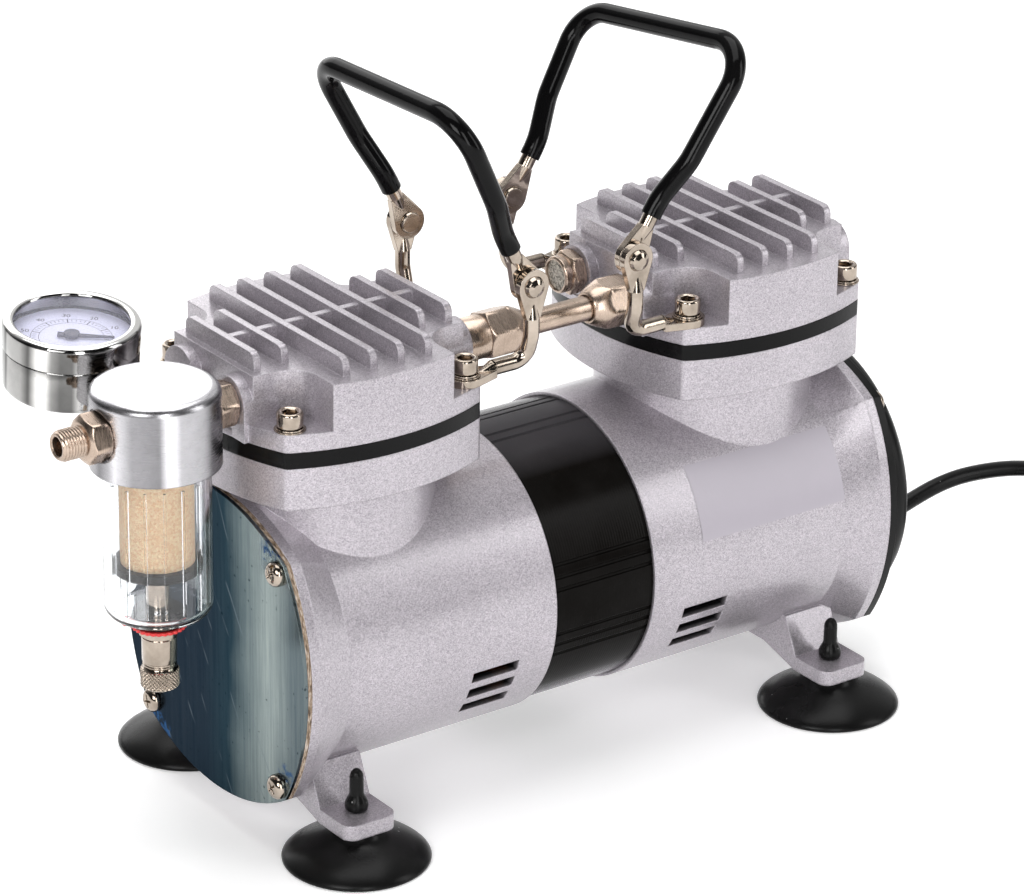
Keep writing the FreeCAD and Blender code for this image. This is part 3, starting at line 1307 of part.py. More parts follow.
def filter_bowl():
    """Clear bowl with a rounded bottom, a drain hole and upright ribs inside."""
    body = new_body("filter_bowl")
    seal = 1
    height = pocket_roof - seal - bowl_bottom
    inner = s.bowl_radius - s.bowl_wall
    edge = s.bowl_edge
    hole = s.drain_tube_radius + s.seat_gap
    profile = new_sketch(body, "XZ_Plane")
    small = edge - s.bowl_wall
    outline(profile, [(hole, 0), (s.bowl_radius - edge, 0), (s.bowl_radius, edge),
                      (s.bowl_radius, height), (inner, height), (inner, edge),
                      (inner - small, s.bowl_wall), (hole, s.bowl_wall)],
            [None, edge, None, None, None, -small, None, None])
    revolve(body, profile)
    rib = new_sketch(body, "XY_Plane", edge)
    half = s.rib_depth / 2
    outline(rib, [(inner - s.rib_depth, -half), (inner + half, -half),
                  (inner + half, half), (inner - s.rib_depth, half)])
    one = pad(body, rib, s.bowl_length - 2 * edge)
    ring_of(body, one, rib, 16)
    locate(body, filter_x, -s.port_offset, bowl_bottom)
    node(body, "filter_bowl")
    about_filter("bowl_seal", tube_profile(inner, s.bowl_radius, pocket_roof - seal,
                                           pocket_roof))


filter_bowl()
about_filter("filter_element", tube_profile(
    s.element_radius - s.element_wall, s.element_radius, element_bottom, pocket_roof))
baffle_low = element_bottom - s.baffle_thickness
about_filter("filter_baffle", [
    (0, baffle_low - 1), (s.stud_radius, baffle_low - 1), (s.stud_radius, baffle_low),
    (s.baffle_radius - 1, baffle_low), (s.baffle_radius, baffle_low + 1),
    (s.baffle_radius, element_bottom), (s.stud_radius, element_bottom),
    (s.stud_radius, pocket_roof + s.filter_chamber_height + 3),
    (0, pocket_roof + s.filter_chamber_height + 3)])
seal_low = bowl_bottom - s.drain_seal_height
ring_low = seal_low - s.lock_ring_height
body_low = ring_low - s.drain_body_height
drain_hole = s.drain_tube_radius + s.seat_gap
about_filter("drain_seal", tube_profile(drain_hole, s.drain_seal_radius, seal_low,
                                        bowl_bottom))
spindle = s.drain_tube_radius / 2
tube_top = bowl_bottom + s.drain_tube_lift
valve = fuse("drain_valve", [
    turned("drain_valve_body", [
        (0, body_low), (s.drain_body_radius, body_low), (s.drain_body_radius, ring_low),
        (s.drain_tube_radius, ring_low), (s.drain_tube_radius, tube_top), (0, tube_top)],
        filter_x, -s.port_offset, 0),
    hexagon("drain_valve_hex", s.drain_hex_circle, s.drain_hex, filter_x + shift,
            -s.port_offset, ring_low - s.drain_hex)])
node(cut("drain_valve_cut", valve, cylinder(
    "drain_valve_bore", spindle + s.running_gap, tube_top - body_low, filter_x + shift,
    -s.port_offset, body_low)), "drain_body")
knob_top = body_low - s.running_gap * 4
about_filter("drain_knob", [
    (0, knob_top - s.knob_height), (s.knob_radius - 1, knob_top - s.knob_height),
    (s.knob_radius, knob_top - s.knob_height + 1), (s.knob_radius, knob_top),
    (spindle, knob_top), (spindle, ring_low), (0, ring_low)])


def lock_ring():
    """Thin ring with a finger tab."""
    body = new_body("drain_lock_ring")
    ring = new_sketch(body, "XY_Plane")
    circle(ring, 0, 0, s.lock_ring_radius)
    pad(body, ring, s.lock_ring_height)
    tab = new_sketch(body, "XY_Plane")
    half = s.lock_ring_radius / 3
    outline(tab, [(half, -half), (s.lock_ring_radius + half, -half),
                  (s.lock_ring_radius + half, half), (half, half)])
    pad(body, tab, s.lock_ring_height)
    hole = new_sketch(body, "XY_Plane", s.lock_ring_height)
    circle(hole, 0, 0, drain_hole)
    pocket(body, hole, s.lock_ring_height)
    locate(body, filter_x, -s.port_offset, ring_low, Rotation(Vector(0, 0, 1), -36))
    return node(body, "drain_lock_ring")


lock_ring()


# Vacuum gauge, in its own tilted frame: local Z = 0 is the rim

def of_gauge(label, profile):
    return turned(label, profile, filter_x, s.gauge_y, gauge_z, gauge_turn)


lip = s.gauge_wall
inner_case = s.gauge_radius - s.gauge_wall
case_radius = s.gauge_radius - lip / 4
dial_under = s.dial_drop + lip / 2
case = of_gauge("gauge_case_body", [
    (0, -s.gauge_height), (case_radius - 2, -s.gauge_height),
    (case_radius, 2 - s.gauge_height), (case_radius, -s.bezel_height),
    (inner_case - s.seat_gap, -s.bezel_height), (inner_case - s.seat_gap, -dial_under),
    (inner_case - lip, -dial_under), (inner_case - lip, lip - s.gauge_height),
    (0, lip - s.gauge_height)])
node(cut("gauge_case_cut", case, gauge_cylinder(
    "gauge_case_hole", s.gauge_stem_radius + s.seat_gap, s.gauge_height,
    -(s.bezel_opening / 2), -s.gauge_stem_drop)), "gauge_case")
node(of_gauge("gauge_bezel", [
    (s.bezel_opening, -lip), (s.bezel_opening, -lip / 2), (s.bezel_opening + lip / 2, 0),
    (s.gauge_radius - lip, 0), (s.gauge_radius, -lip), (s.gauge_radius, -s.bezel_height),
    (inner_case, -s.bezel_height), (inner_case, -lip)]), "gauge_bezel")
node(of_gauge("gauge_lens", [
    (0, -lip * 2), (inner_case - s.seat_gap, -lip * 2), (inner_case - s.seat_gap, -lip),
    (0, -lip)]), "gauge_lens")
arbor = lip / 2
node(of_gauge("gauge_dial", tube_profile(
    arbor + s.running_gap, inner_case - s.seat_gap, -dial_under, -s.dial_drop)), "gauge_dial")
node(gauge_cylinder("gauge_stem", s.gauge_stem_radius, s.gauge_stem_length,
                    -(s.gauge_radius - 2 * lip), -s.gauge_stem_drop), "gauge_stem")


def gauge_pointer():
    """Tapered needle on its hub and arbor, pointing along local +X."""
    body = new_body("gauge_pointer")
    level = 0.6 - s.dial_drop
    hub = new_sketch(body, "XZ_Plane")
    outline(hub, [(0, -s.bezel_height), (arbor, -s.bezel_height), (arbor, level),
                  (lip * 2, level), (lip * 2, level + lip), (0, level + lip)])
    revolve(body, hub)
    needle = new_sketch(body, "XY_Plane", level)
    outline(needle, [(-s.pointer_length / 3, -lip), (s.pointer_length, -lip / 4),
                     (s.pointer_length, lip / 4), (-s.pointer_length / 3, lip)])
    pad(body, needle, lip / 2)
    locate(body, filter_x, s.gauge_y, gauge_z,
           gauge_turn.multiply(Rotation(Vector(0, 0, 1), -36)))
    return node(body, "gauge_pointer")


gauge_pointer()


# Bent wire and cord: straight runs joined by tangent arcs

def route(points, radii):
    """One wire through the points, with one arc radius for each point between the ends."""
    edges, start = [], points[0]
    for before, corner, after, radius in zip(points, points[1:], points[2:], radii):
        into, out = (corner - before).normalize(), (after - corner).normalize()
        half = into.getAngle(out) / 2
        reach = radius * math.tan(half)
        inwards = (out - into).normalize()
        middle = corner + inwards * (radius / math.cos(half) - radius)
        arc_start, arc_end = corner - into * reach, corner + out * reach
        edges.append(Part.LineSegment(start, arc_start).toShape())
        edges.append(Part.Arc(arc_start, middle, arc_end).toShape())
        start = arc_end
    edges.append(Part.LineSegment(start, points[-1]).toShape())
    return Part.Wire(edges)


def swept(label, points, radii, outer, inner=None):
    """A round bar along a route, or a sleeve when it has an inner radius."""
    path = route(points, radii)
    way = (points[1] - points[0]).normalize()
    solids = [path.makePipe(Part.Face(Part.Wire(Part.makeCircle(float(radius), points[0], way))))
              for radius in (outer, inner) if radius is not None]
    feature = doc.addObject("Part::Feature", label)
    feature.Shape = solids[0].cut(solids[1]) if inner is not None else solids[0]
    return feature


# Carrying handles and their brackets

tab_inner = place("tab_inner", s.eye_y + s.strip_thickness * 0.6)
eye_outer = place("eye_outer", tab_inner - s.eye_gap)
eye_inner = place("eye_inner", eye_outer - s.strip_thickness)


def flat_end(label, lift=0):
    """Flattened end of a rod: an eye that tapers along local +Y into the round rod.

    lift is how far the rod's centreline ends above the middle of the flat.
    """
    body = new_body(label)
    reach, neck, eye = s.flat_reach, s.wire_radius, s.eye_radius
    disc = new_sketch(body, "XY_Plane")
    circle(disc, 0, 0, eye)
    pad(body, disc, s.strip_thickness)
    taper = new_sketch(body, "XY_Plane")
    wide, start = eye * 0.96, eye * 0.28
    outline(taper, [(-wide, start), (wide, start), (neck, reach), (-neck, reach)])
    pad(body, taper, s.strip_thickness)
    way = Vector(0, float(reach - s.eye_radius), float(lift))
    swage = cone(label + "_swage", s.strip_thickness / 2, s.wire_radius, way.Length,
                 0, s.eye_radius, s.strip_thickness / 2, Rotation(Vector(0, 0, 1), way))
    return fuse(label + "_end", [body, swage])


def handle(name, x, lean, front, back):
    """Wire loop with two flattened eyes, and the vinyl sleeve on it."""
    def path(start):
        corners = [(-s.eye_y, start), (-s.eye_y, s.knee_start), (-s.knee_spread, s.knee_end),
                   (-s.handle_spread, front), (s.handle_spread, back),
                   (s.knee_spread, s.knee_end), (s.eye_y, s.knee_start), (s.eye_y, start)]
        return [Vector(0, float(y), float(z)) for y, z in corners]

    knee, bend = float(s.knee_bend), float(s.handle_bend)
    radii = [knee, knee, bend, bend, knee, knee]
    pieces = [swept("handle_rod_" + name, path(s.flat_reach), radii, s.wire_radius)]
    for side in (-1, 1):
        end = flat_end("handle_eye_%s_%d" % (name, side + 2))
        put(end, 0, eye_outer if side > 0 else -eye_inner, 0, TO_MINUS_Y)
        pieces.append(end)
    loop = fuse("handle_loop_" + name, pieces)
    hole = cylinder("handle_hole_" + name, s.rivet_radius + s.running_gap, 2 * s.eye_y + 8,
                    0, -s.eye_y - 4, 0, TO_PLUS_Y)
    turn = Rotation(Vector(0, 1, 0), float(lean))
    wire = cut("handle_cut_" + name, loop, hole)
    locate(wire, x, 0, pivot_z, turn)
    node(wire, "handle_wire_" + name)
    grip = swept("handle_sleeve_" + name, path(s.sleeve_start), radii, s.sleeve_radius,
                 s.wire_radius + s.seat_gap)
    locate(grip, x, 0, pivot_z, turn)
    node(grip, "handle_grip_" + name)


def bracket(label, side, along):
    """Bent rod with one end flattened under a head screw and one flattened for the rivet."""
    screw_x = side * (head_x - s.screw_offset)
    half = s.strip_thickness / 2
    pivot, level = side * s.pivot_x, flange_top + s.wire_radius
    line = along * (tab_inner + half)
    corners = [(screw_x - side * s.flat_reach, along * s.eye_y, level),
               (pivot, along * s.eye_y, level), (pivot, line, level + 9),
               (pivot, line, pivot_z - s.flat_reach)]
    rod = swept(label + "_rod", [Vector(float(x + shift), float(y), float(z))
                                 for x, y, z in corners], [5, 8], s.wire_radius)
    foot = flat_end(label + "_foot", s.wire_radius - half)
    put(foot, screw_x + shift, along * s.eye_y, flange_top,
        Rotation(Vector(0, 0, 1), 90 * side))
    eye = flat_end(label + "_eye")
    put(eye, pivot + shift, line - half, pivot_z, TO_PLUS_Y)
    solid = fuse(label + "_solid", [rod, foot, eye])
    screw_hole = cylinder(label + "_screw_hole", s.screw_radius + s.running_gap, 10,
                          screw_x + shift, along * s.eye_y, flange_top - 1)
    rivet_hole = cylinder(label + "_rivet_hole", s.rivet_radius + s.seat_gap, 10,
                          pivot + shift, line - 5, pivot_z, TO_PLUS_Y)
    return cut(label, solid, fuse(label + "_holes", [screw_hole, rivet_hole]))


handle("left", -s.pivot_x, -s.left_lean, s.left_front_leg, s.left_back_leg)
handle("right", s.pivot_x, s.right_lean, s.right_front_leg, s.right_back_leg)
rivet_start = eye_inner - s.eye_gap - 0.8
rivet_seat = tab_inner + s.strip_thickness - rivet_start
rivet_master = lathe("rivet", [
    (0, 0), (s.rivet_head - 0.4, 0), (s.rivet_head, 0.8), (s.rivet_radius, 0.8),
    (s.rivet_radius, rivet_seat), (s.rivet_head, rivet_seat),
    (s.rivet_head * 0.8, rivet_seat + 1.3), (s.rivet_head * 0.4, rivet_seat + 2),
    (0, rivet_seat + 2.2)])
brackets, rivets = [], []
for side in (-1, 1):
    for along in (-1, 1):
        tag = "%d" % (len(brackets) + 1)
        brackets.append(bracket("bracket_" + tag, side, along))
        rivets.append(copy_of(rivet_master, "rivet_" + tag, side * s.pivot_x,
                              along * rivet_start, pivot_z,
                              TO_PLUS_Y if along > 0 else TO_MINUS_Y))
node(group("handle_brackets_group", brackets), "handle_brackets")
node(group("handle_rivets_group", rivets), "handle_rivets")


# Suction cups

bulb_low = s.foot_bottom + s.foot_thickness
bulb_top = bulb_low + s.cup_bulb_height
cup_master = lathe("cup", [
    (0, 7), (8, 6), (s.cup_radius - 2.5, 0), (s.cup_radius, 0), (s.cup_radius, 1.4),
    (s.cup_radius - 6, 4.5), (10, 8.6), (6.5, s.foot_bottom), (s.cup_stem_radius, s.foot_bottom),
    (s.cup_stem_radius, bulb_low), (s.cup_bulb_radius, bulb_low + 1.5),
    (s.cup_bulb_radius, bulb_low + 3), (s.cup_stem_radius, bulb_top),
    (s.cup_stem_radius - 0.5, s.cup_tip_height), (0, s.cup_tip_height)])
cups = [copy_of(cup_master, "cup_%d" % (index + 1), across * s.foot_offset,
                along * s.cup_offset, 0)
        for index, (across, along) in enumerate(FOUR_CORNERS)]
node(group("suction_cups_group", cups), "suction_cups")


# Supply cord

rise = math.radians(float(s.gland_rise))
gland_z = place("gland_z", s.axis_height - s.gland_drop)
gland_out = s.gland_flange / 2
gland_turn = Rotation(Vector(0, 1, 0), 90 - float(s.gland_rise))
node(fuse("cord_gland_fuse", [
    cylinder("gland_disc", s.gland_flange_radius, s.gland_flange, cap_end + shift,
             -s.gland_y, gland_z, TO_PLUS_X),
    cone("gland_relief", s.gland_radius, s.gland_tip, s.gland_length,
         cap_end + gland_out + shift, -s.gland_y, gland_z, gland_turn)]), "cord_gland")
tip_x = cap_end + gland_out + s.gland_length * math.cos(rise)
tip_z = gland_z + s.gland_length * math.sin(rise)
CORD_POINTS = [
    (float(tip_x), -12, float(tip_z)), (163, -12, 44.9), (176.5, -12, 46.9),
    (190, -12, 46.1), (203.5, -11.8, 43.9), (216.5, -11, 39.9), (228.5, -9.6, 33.7),
    (240, -7.6, 26.2), (251.5, -5.2, 19.2), (263.5, -5.4, 13.6), (274.5, -10, 9.6)]
cord_path = [Vector(x + float(shift), y, z) for x, y, z in CORD_POINTS]
cord_radii = []
for before, corner, after in zip(cord_path, cord_path[1:], cord_path[2:]):
    half = (corner - before).getAngle(after - corner) / 2
    shorter = min((corner - before).Length, (after - corner).Length)
    cord_radii.append(0.45 * shorter / math.tan(half))
cord = node(swept("cord_run", cord_path, cord_radii, s.cord_radius), "cord_tube")
print("cord arc radii", ", ".join("%.0f" % radius for radius in cord_radii))
cord_length = route(cord_path, cord_radii).Length
print("cord tube %.0f mm3, section times length %.0f mm3" % (
    cord.Shape.Volume, math.pi * float(s.cord_radius) ** 2 * cord_length))

band_low, band_high = s.coil_radius - s.coil_band, s.coil_radius + s.coil_band
soft = s.coil_band / 2
node(turned("cord_coil", [
    (band_low + soft, 0), (band_high - soft, 0), (band_high, soft),
    (band_high, s.coil_height - soft), (band_high - soft, s.coil_height),
    (band_low + soft, s.coil_height), (band_low, s.coil_height - soft), (band_low, soft)],
    s.coil_x, -s.coil_y, 0), "cord_coil")


def cord_plug():
    """Round two-pin plug lying on its rim, with a boot and the last of the cord."""
    cord_end, neck_at = s.plug_tail, s.plug_tail + s.plug_boot
    wide_at = neck_at + s.plug_taper
    face_at = wide_at + s.plug_rim
    shell = lathe("plug_shell", [
        (0, 0), (s.cord_radius, 0), (s.cord_radius, cord_end),
        (s.cord_radius + 0.6, cord_end), (s.plug_neck, neck_at), (s.plug_face, wide_at),
        (s.plug_face, face_at - 1), (s.plug_face - 1, face_at), (0, face_at)])
    pins = [cylinder("plug_pin_%d" % (side + 2), s.plug_pin_radius, s.plug_pin_length + 2,
                     0, side * s.plug_pin_pitch / 2, face_at - 2) for side in (-1, 1)]
    whole = fuse("plug_fuse", [shell] + pins)
    turn = Rotation(Vector(0, 0, 1), -float(s.plug_turn)).multiply(TO_PLUS_X)
    locate(whole, s.coil_x + s.coil_radius - 1, -s.coil_y - 3, s.plug_face, turn)
    return node(whole, "cord_plug")


cord_plug()


# Write the finished sub-parts

doc.recompute()
for feature in doc.Objects:
    faults = [state for state in feature.State if state in ("Invalid", "Error")]
    if faults:
        raise RuntimeError("%s is %s" % (feature.Name, faults))
for feature in nodes:
    shape = feature.Shape
    if shape.isNull() or not shape.isValid() or not shape.Solids:
        raise RuntimeError("%s has no valid solid" % feature.Label)
os.makedirs("parts", exist_ok=True)
for feature in nodes:
    feature.Shape.exportStep("parts/%s.step" % feature.Label)
    print("%-22s %2d solids %9.0f mm3" % (feature.Label, len(feature.Shape.Solids),
                                          feature.Shape.Volume))
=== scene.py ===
import json
import math
import random

import bmesh
import bpy
from mathutils import Matrix, Vector


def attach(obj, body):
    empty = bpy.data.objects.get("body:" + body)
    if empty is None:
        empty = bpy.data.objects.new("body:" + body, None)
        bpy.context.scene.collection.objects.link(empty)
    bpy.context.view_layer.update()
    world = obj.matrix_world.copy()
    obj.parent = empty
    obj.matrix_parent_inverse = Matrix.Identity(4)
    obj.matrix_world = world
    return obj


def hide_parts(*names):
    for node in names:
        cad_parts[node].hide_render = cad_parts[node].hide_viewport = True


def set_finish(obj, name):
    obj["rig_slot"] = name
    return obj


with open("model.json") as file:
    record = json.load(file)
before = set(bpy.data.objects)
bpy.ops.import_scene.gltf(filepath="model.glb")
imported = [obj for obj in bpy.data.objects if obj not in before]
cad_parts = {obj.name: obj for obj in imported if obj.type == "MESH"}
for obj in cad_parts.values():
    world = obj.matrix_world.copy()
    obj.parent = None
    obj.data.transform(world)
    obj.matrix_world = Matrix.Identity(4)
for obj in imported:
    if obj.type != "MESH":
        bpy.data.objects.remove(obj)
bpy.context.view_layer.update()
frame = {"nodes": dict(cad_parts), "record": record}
nodes = frame["nodes"]
# Metres along X from the frame's origin to the middle between the heads
SHIFT = 0.0245
# Millimetres: height of the shaft, line of the ports and tubes, axis of the intake filter and
# middle of the gauge's rim
AXIS_HEIGHT = 61.5
PORT_Y, PORT_HEIGHT = -14, 146.5
FILTER_X = -143
GAUGE_RIM = (FILTER_X, 32.8, 163.6)


def at(x, y, z):
    """A point in metres from millimetres measured from the middle between the heads."""
    return Vector((x / 1000 + SHIFT, y / 1000, z / 1000))


# Camera

def make_camera():
    """The photograph's view: the direction back to it, aim, distance, roll and lens, as fitted."""
    back = Vector((-0.5403, -0.7393, 0.4018)).normalized()
    aim, distance = at(-1.4, 0, 98.07), 1.53277
    roll = math.radians(0.76)
    right = Vector((-back.y, back.x, 0)).normalized()
    up = back.cross(right)
    across = right * math.cos(roll) + up * math.sin(roll)
    upright = up * math.cos(roll) - right * math.sin(roll)
    data = bpy.data.cameras.new("camera")
    data.sensor_width = 36
    data.lens = 168.9
    data.clip_start, data.clip_end = 0.1, 100
    camera = bpy.data.objects.new("camera", data)
    bpy.context.scene.collection.objects.link(camera)
    turn = Matrix((across, upright, back)).transposed().to_4x4()
    camera.matrix_world = Matrix.Translation(aim + back * distance) @ turn
    bpy.context.scene.camera = camera


make_camera()


# Helpers for materials and the world

class Shader:
    """A node material or world, built up node by node."""

    def __init__(self, tree):
        self.tree = tree

    def node(self, kind, inputs=(), **settings):
        made = self.tree.nodes.new("ShaderNode" + kind)
        for name, value in settings.items():
            setattr(made, name, value)
        for name, value in dict(inputs).items():
            if isinstance(value, bpy.types.NodeSocket):
                self.tree.links.new(value, made.inputs[name])
            else:
                made.inputs[name].default_value = value
        return made

    def ramp(self, fac, stops):
        made = self.node("ValToRGB", {"Fac": fac})
        elements = made.color_ramp.elements
        while len(elements) < len(stops):
            elements.new(0.5)
        for element, (place, colour) in zip(elements, stops):
            element.position = place
            element.color = colour if len(colour) == 4 else (*colour, 1)
        return made.outputs["Color"]

    def coords(self, scale=(1, 1, 1), turn=(0, 0, 0)):
        place = self.node("TexCoord").outputs["Object"]
        return self.node("Mapping", {"Vector": place, "Scale": scale,
                                     "Rotation": turn}).outputs["Vector"]

    def noise(self, scale, detail=3, roughness=0.5, stretch=(1, 1, 1)):
        return self.node("TexNoise", {"Vector": self.coords(stretch), "Scale": scale,
                                      "Detail": detail, "Roughness": roughness}).outputs["Fac"]

    def math(self, operation, a, b=0.0):
        made = self.node("Math", operation=operation)
        for index, value in enumerate((a, b)):
            if isinstance(value, bpy.types.NodeSocket):
                self.tree.links.new(value, made.inputs[index])
            else:
                made.inputs[index].default_value = value
        return made.outputs[0]

    def between(self, value, low, high, start=0.0, end=1.0):
        """Stretch a value that runs from start to end so that it runs from low to high."""
        return self.node("MapRange", {"Value": value, "From Min": start, "From Max": end,
                                      "To Min": low, "To Max": high}).outputs[0]

    def mix(self, fac, a, b, blend="MIX"):
        made = self.node("Mix", data_type="RGBA", blend_type=blend)
        for name, value in (("Factor", fac), ("A", a), ("B", b)):
            socket = next(s for s in made.inputs if s.name == name
                          and s.type == ("VALUE" if name == "Factor" else "RGBA"))
            if isinstance(value, bpy.types.NodeSocket):
                self.tree.links.new(value, socket)
            else:
                socket.default_value = value if name == "Factor" or len(value) == 4 else (*value, 1)
        return next(s for s in made.outputs if s.type == "RGBA")


def material(name, **shader):
    """A new principled material: returns it, its Shader helper and its principled node."""
    made = bpy.data.materials.new(name)
    made.use_nodes = True
    tree = made.node_tree
    principled = tree.nodes["Principled BSDF"]
    for socket, value in shader.items():
        socket = socket.replace("_", " ").title().replace("Ior", "IOR")
        if isinstance(value, tuple) and len(value) == 3:
            value = (*value, 1)
        principled.inputs[socket].default_value = value
    return made, Shader(tree), principled


def connect(helper, socket, principled, name):
    """Feed one input of the principled node."""
    helper.tree.links.new(socket, principled.inputs[name])


def bump(helper, principled, height, strength, distance, edge=0.0):
    """Relief from a height, over edges that are softened by a small radius."""
    inputs = {"Height": height, "Strength": strength, "Distance": distance}
    if edge:
        inputs["Normal"] = helper.node("Bevel", {"Radius": edge}, samples=6).outputs[0]
    connect(helper, helper.node("Bump", inputs).outputs[0], principled, "Normal")


# Stage and lights

# Reach of the floor to each side, in metres
FLOOR = 30
# Side of the sky that is bright, and the point that the lamps face
BRIGHT_SIDE = (0.52, 0.70, 0.49)
LIT_POINT = Vector((0, 0, 0.1))
# Name, place, width, height and power of each lamp
LAMPS = (("key", (-1.15, -0.7, 0.72), 0.6, 0.6, 9.4),
         ("front", (-0.75, -1.95, 0.6), 0.5, 1.6, 15.5),
         ("fill", (1.35, -1.35, 0.85), 0.6, 1.4, 10),
         ("top", (0.1, 0.2, 2.0), 1.7, 1.7, 26.5),
         ("back", (0.3, 1.9, 1.0), 1.6, 1.6, 13))


def make_floor():
    mesh = bpy.data.meshes.new("floor")
    mesh.from_pydata([(-FLOOR, -FLOOR, 0), (FLOOR, -FLOOR, 0), (FLOOR, FLOOR, 0),
                      (-FLOOR, FLOOR, 0)], [], [(0, 1, 2, 3)])
    floor = bpy.data.objects.new("floor", mesh)
    bpy.context.scene.collection.objects.link(floor)
    paint, helper, principled = material("floor_paint", roughness=0.7,
                                         emission_color=(1.0, 1.0, 1.0))
    grain = helper.noise(60)
    connect(helper, helper.ramp(grain, [(0, (0.92, 0.92, 0.92)), (1, (0.94, 0.94, 0.94))]),
            principled, "Base Color")
    # A glow keeps the floor white far away from the lamps
    away = helper.node("VectorMath", {0: helper.coords()}, operation="LENGTH").outputs["Value"]
    connect(helper, helper.between(away, 0.24, 0.8, 0.4, 3.0), principled, "Emission Strength")
    floor.data.materials.append(paint)


def make_lights():
    world = bpy.data.worlds.new("studio")
    bpy.context.scene.world = world
    world.use_nodes = True
    helper = Shader(world.node_tree)
    background = world.node_tree.nodes["Background"]
    towards = helper.node("VectorMath", {0: helper.node("TexCoord").outputs["Generated"],
                                         1: BRIGHT_SIDE}, operation="DOT_PRODUCT")
    sky = helper.ramp(towards.outputs["Value"],
                      [(0, (0.05, 0.05, 0.052)), (0.25, (0.07, 0.07, 0.072)),
                       (0.6, (0.45, 0.45, 0.46)), (0.85, (1, 1, 1))])
    world.node_tree.links.new(sky, background.inputs["Color"])
    background.inputs["Strength"].default_value = 0.8
    for name, place, width, height, power in LAMPS:
        data = bpy.data.lights.new(name, "AREA")
        data.shape = "RECTANGLE"
        data.size, data.size_y = width, height
        data.energy = power
        lamp = bpy.data.objects.new(name, data)
        bpy.context.scene.collection.objects.link(lamp)
        lamp.location = place
        lamp.rotation_mode = "QUATERNION"
        lamp.rotation_quaternion = (Vector(place) - LIT_POINT).to_track_quat("Z", "Y")
    bpy.context.scene.view_settings.view_transform = "Standard"


make_floor()
make_lights()


# Materials

# Direction from the filter's axis to the left edge that the photograph shows
LEFT_RIM = math.radians(143.8)


def silver_paint():
    """Sprayed metallic paint: fine flecks under a glossy clear skin over a cast surface."""
    made, helper, principled = material("silver_paint", metallic=0.62, roughness=0.4,
                                        coat_weight=0.5, coat_roughness=0.12)
    cells = helper.node("TexVoronoi", {"Vector": helper.coords(), "Scale": 3300.0})
    fleck = helper.node("SeparateColor", {"Color": cells.outputs["Color"]}).outputs[0]
    cloud = helper.noise(30, 4)
    base = helper.ramp(cloud, [(0.3, (0.56, 0.52, 0.56)), (0.7, (0.625, 0.582, 0.625))])
    bright = helper.ramp(fleck, [(0.0, (0.50, 0.50, 0.51)), (0.4, (0.73, 0.73, 0.73)),
                                 (0.75, (0.80, 0.80, 0.81)), (1.0, (1.0, 1.0, 1.0))])
    painted = helper.mix(1.0, base, bright, "MULTIPLY")
    # Painted shade: near black in place of the paint inside the barrels, seen through the slots
    out = helper.node("VectorMath", {0: helper.coords((0, 1, 1)), 1: (0, 0, AXIS_HEIGHT / 1000)},
                      operation="DISTANCE").outputs["Value"]
    painted_shade_inside = helper.between(out, 1.0, 0.0, 0.0452, 0.0472)
    connect(helper, helper.mix(painted_shade_inside, painted, (0.03, 0.03, 0.032)), principled, "Base Color")
    connect(helper, helper.between(fleck, 0.32, 0.44), principled, "Roughness")
    peel = helper.noise(330, 3)
    grain = helper.noise(1500, 2)
    height = helper.math("ADD", helper.math("MULTIPLY", peel, 0.6),
                         helper.math("MULTIPLY", grain, 0.45))
    bump(helper, principled, height, 0.2, 0.0003, 0.0007)
    return made


def black_gloss(name, roughness, base=0.006):
    """Glossy black with slight clouding and a little unevenness."""
    made, helper, principled = material(name, roughness=roughness, specular_ior_level=0.12)
    cloud = helper.noise(55, 4)
    connect(helper, helper.ramp(cloud, [(0.3, (base, base, base * 1.05)),
                                        (0.8, (base * 1.8, base * 1.7, base * 1.8))]),
            principled, "Base Color")
    connect(helper, helper.between(cloud, roughness * 0.7, roughness * 1.5), principled,
            "Roughness")
    bump(helper, principled, helper.noise(700, 3), 0.1, 0.0002, 0.0006)
    return made


def stack_lacquer():
    """Black lacquer over thin steel sheets: fine lines across the stack, with painted reflections
    low on the sides and along the top.
    """
    made, helper, principled = material("stack_lacquer", roughness=0.12, specular_ior_level=0.04)
    line = helper.node("TexWave", {"Vector": helper.coords(), "Scale": 320.0,
                                   "Distortion": 0.4, "Detail": 1.0}, bands_direction="X")
    cloud = helper.noise(70, 4)
    black = helper.ramp(cloud, [(0.3, (0.003, 0.0025, 0.002)), (0.75, (0.007, 0.0065, 0.006))])
    # Painted reflections: of the floor low on the sides, and a pale painted highlight along the top
    height = helper.node("SeparateXYZ", {"Vector": helper.coords()}).outputs["Z"]
    painted_reflection = helper.ramp(helper.between(height, 0.0, 1.0, 0.015, 0.108), [
        (place, (glow * 0.95, glow * 0.9, glow)) for place, glow in (
            (0.0, 0.01), (0.07, 0.06), (0.09, 0.30), (0.13, 0.12), (0.19, 0.0), (0.91, 0.0),
            (0.985, 0.05))])
    connect(helper, helper.mix(1.0, black, painted_reflection, "ADD"), principled, "Base Color")
    connect(helper, helper.between(cloud, 0.08, 0.24), principled, "Roughness")
    height = helper.math("ADD", helper.math("MULTIPLY", line.outputs["Fac"], 0.35),
                         helper.math("MULTIPLY", helper.noise(300, 3), 0.5))
    bump(helper, principled, height, 0.2, 0.0002, 0.0003)
    return made


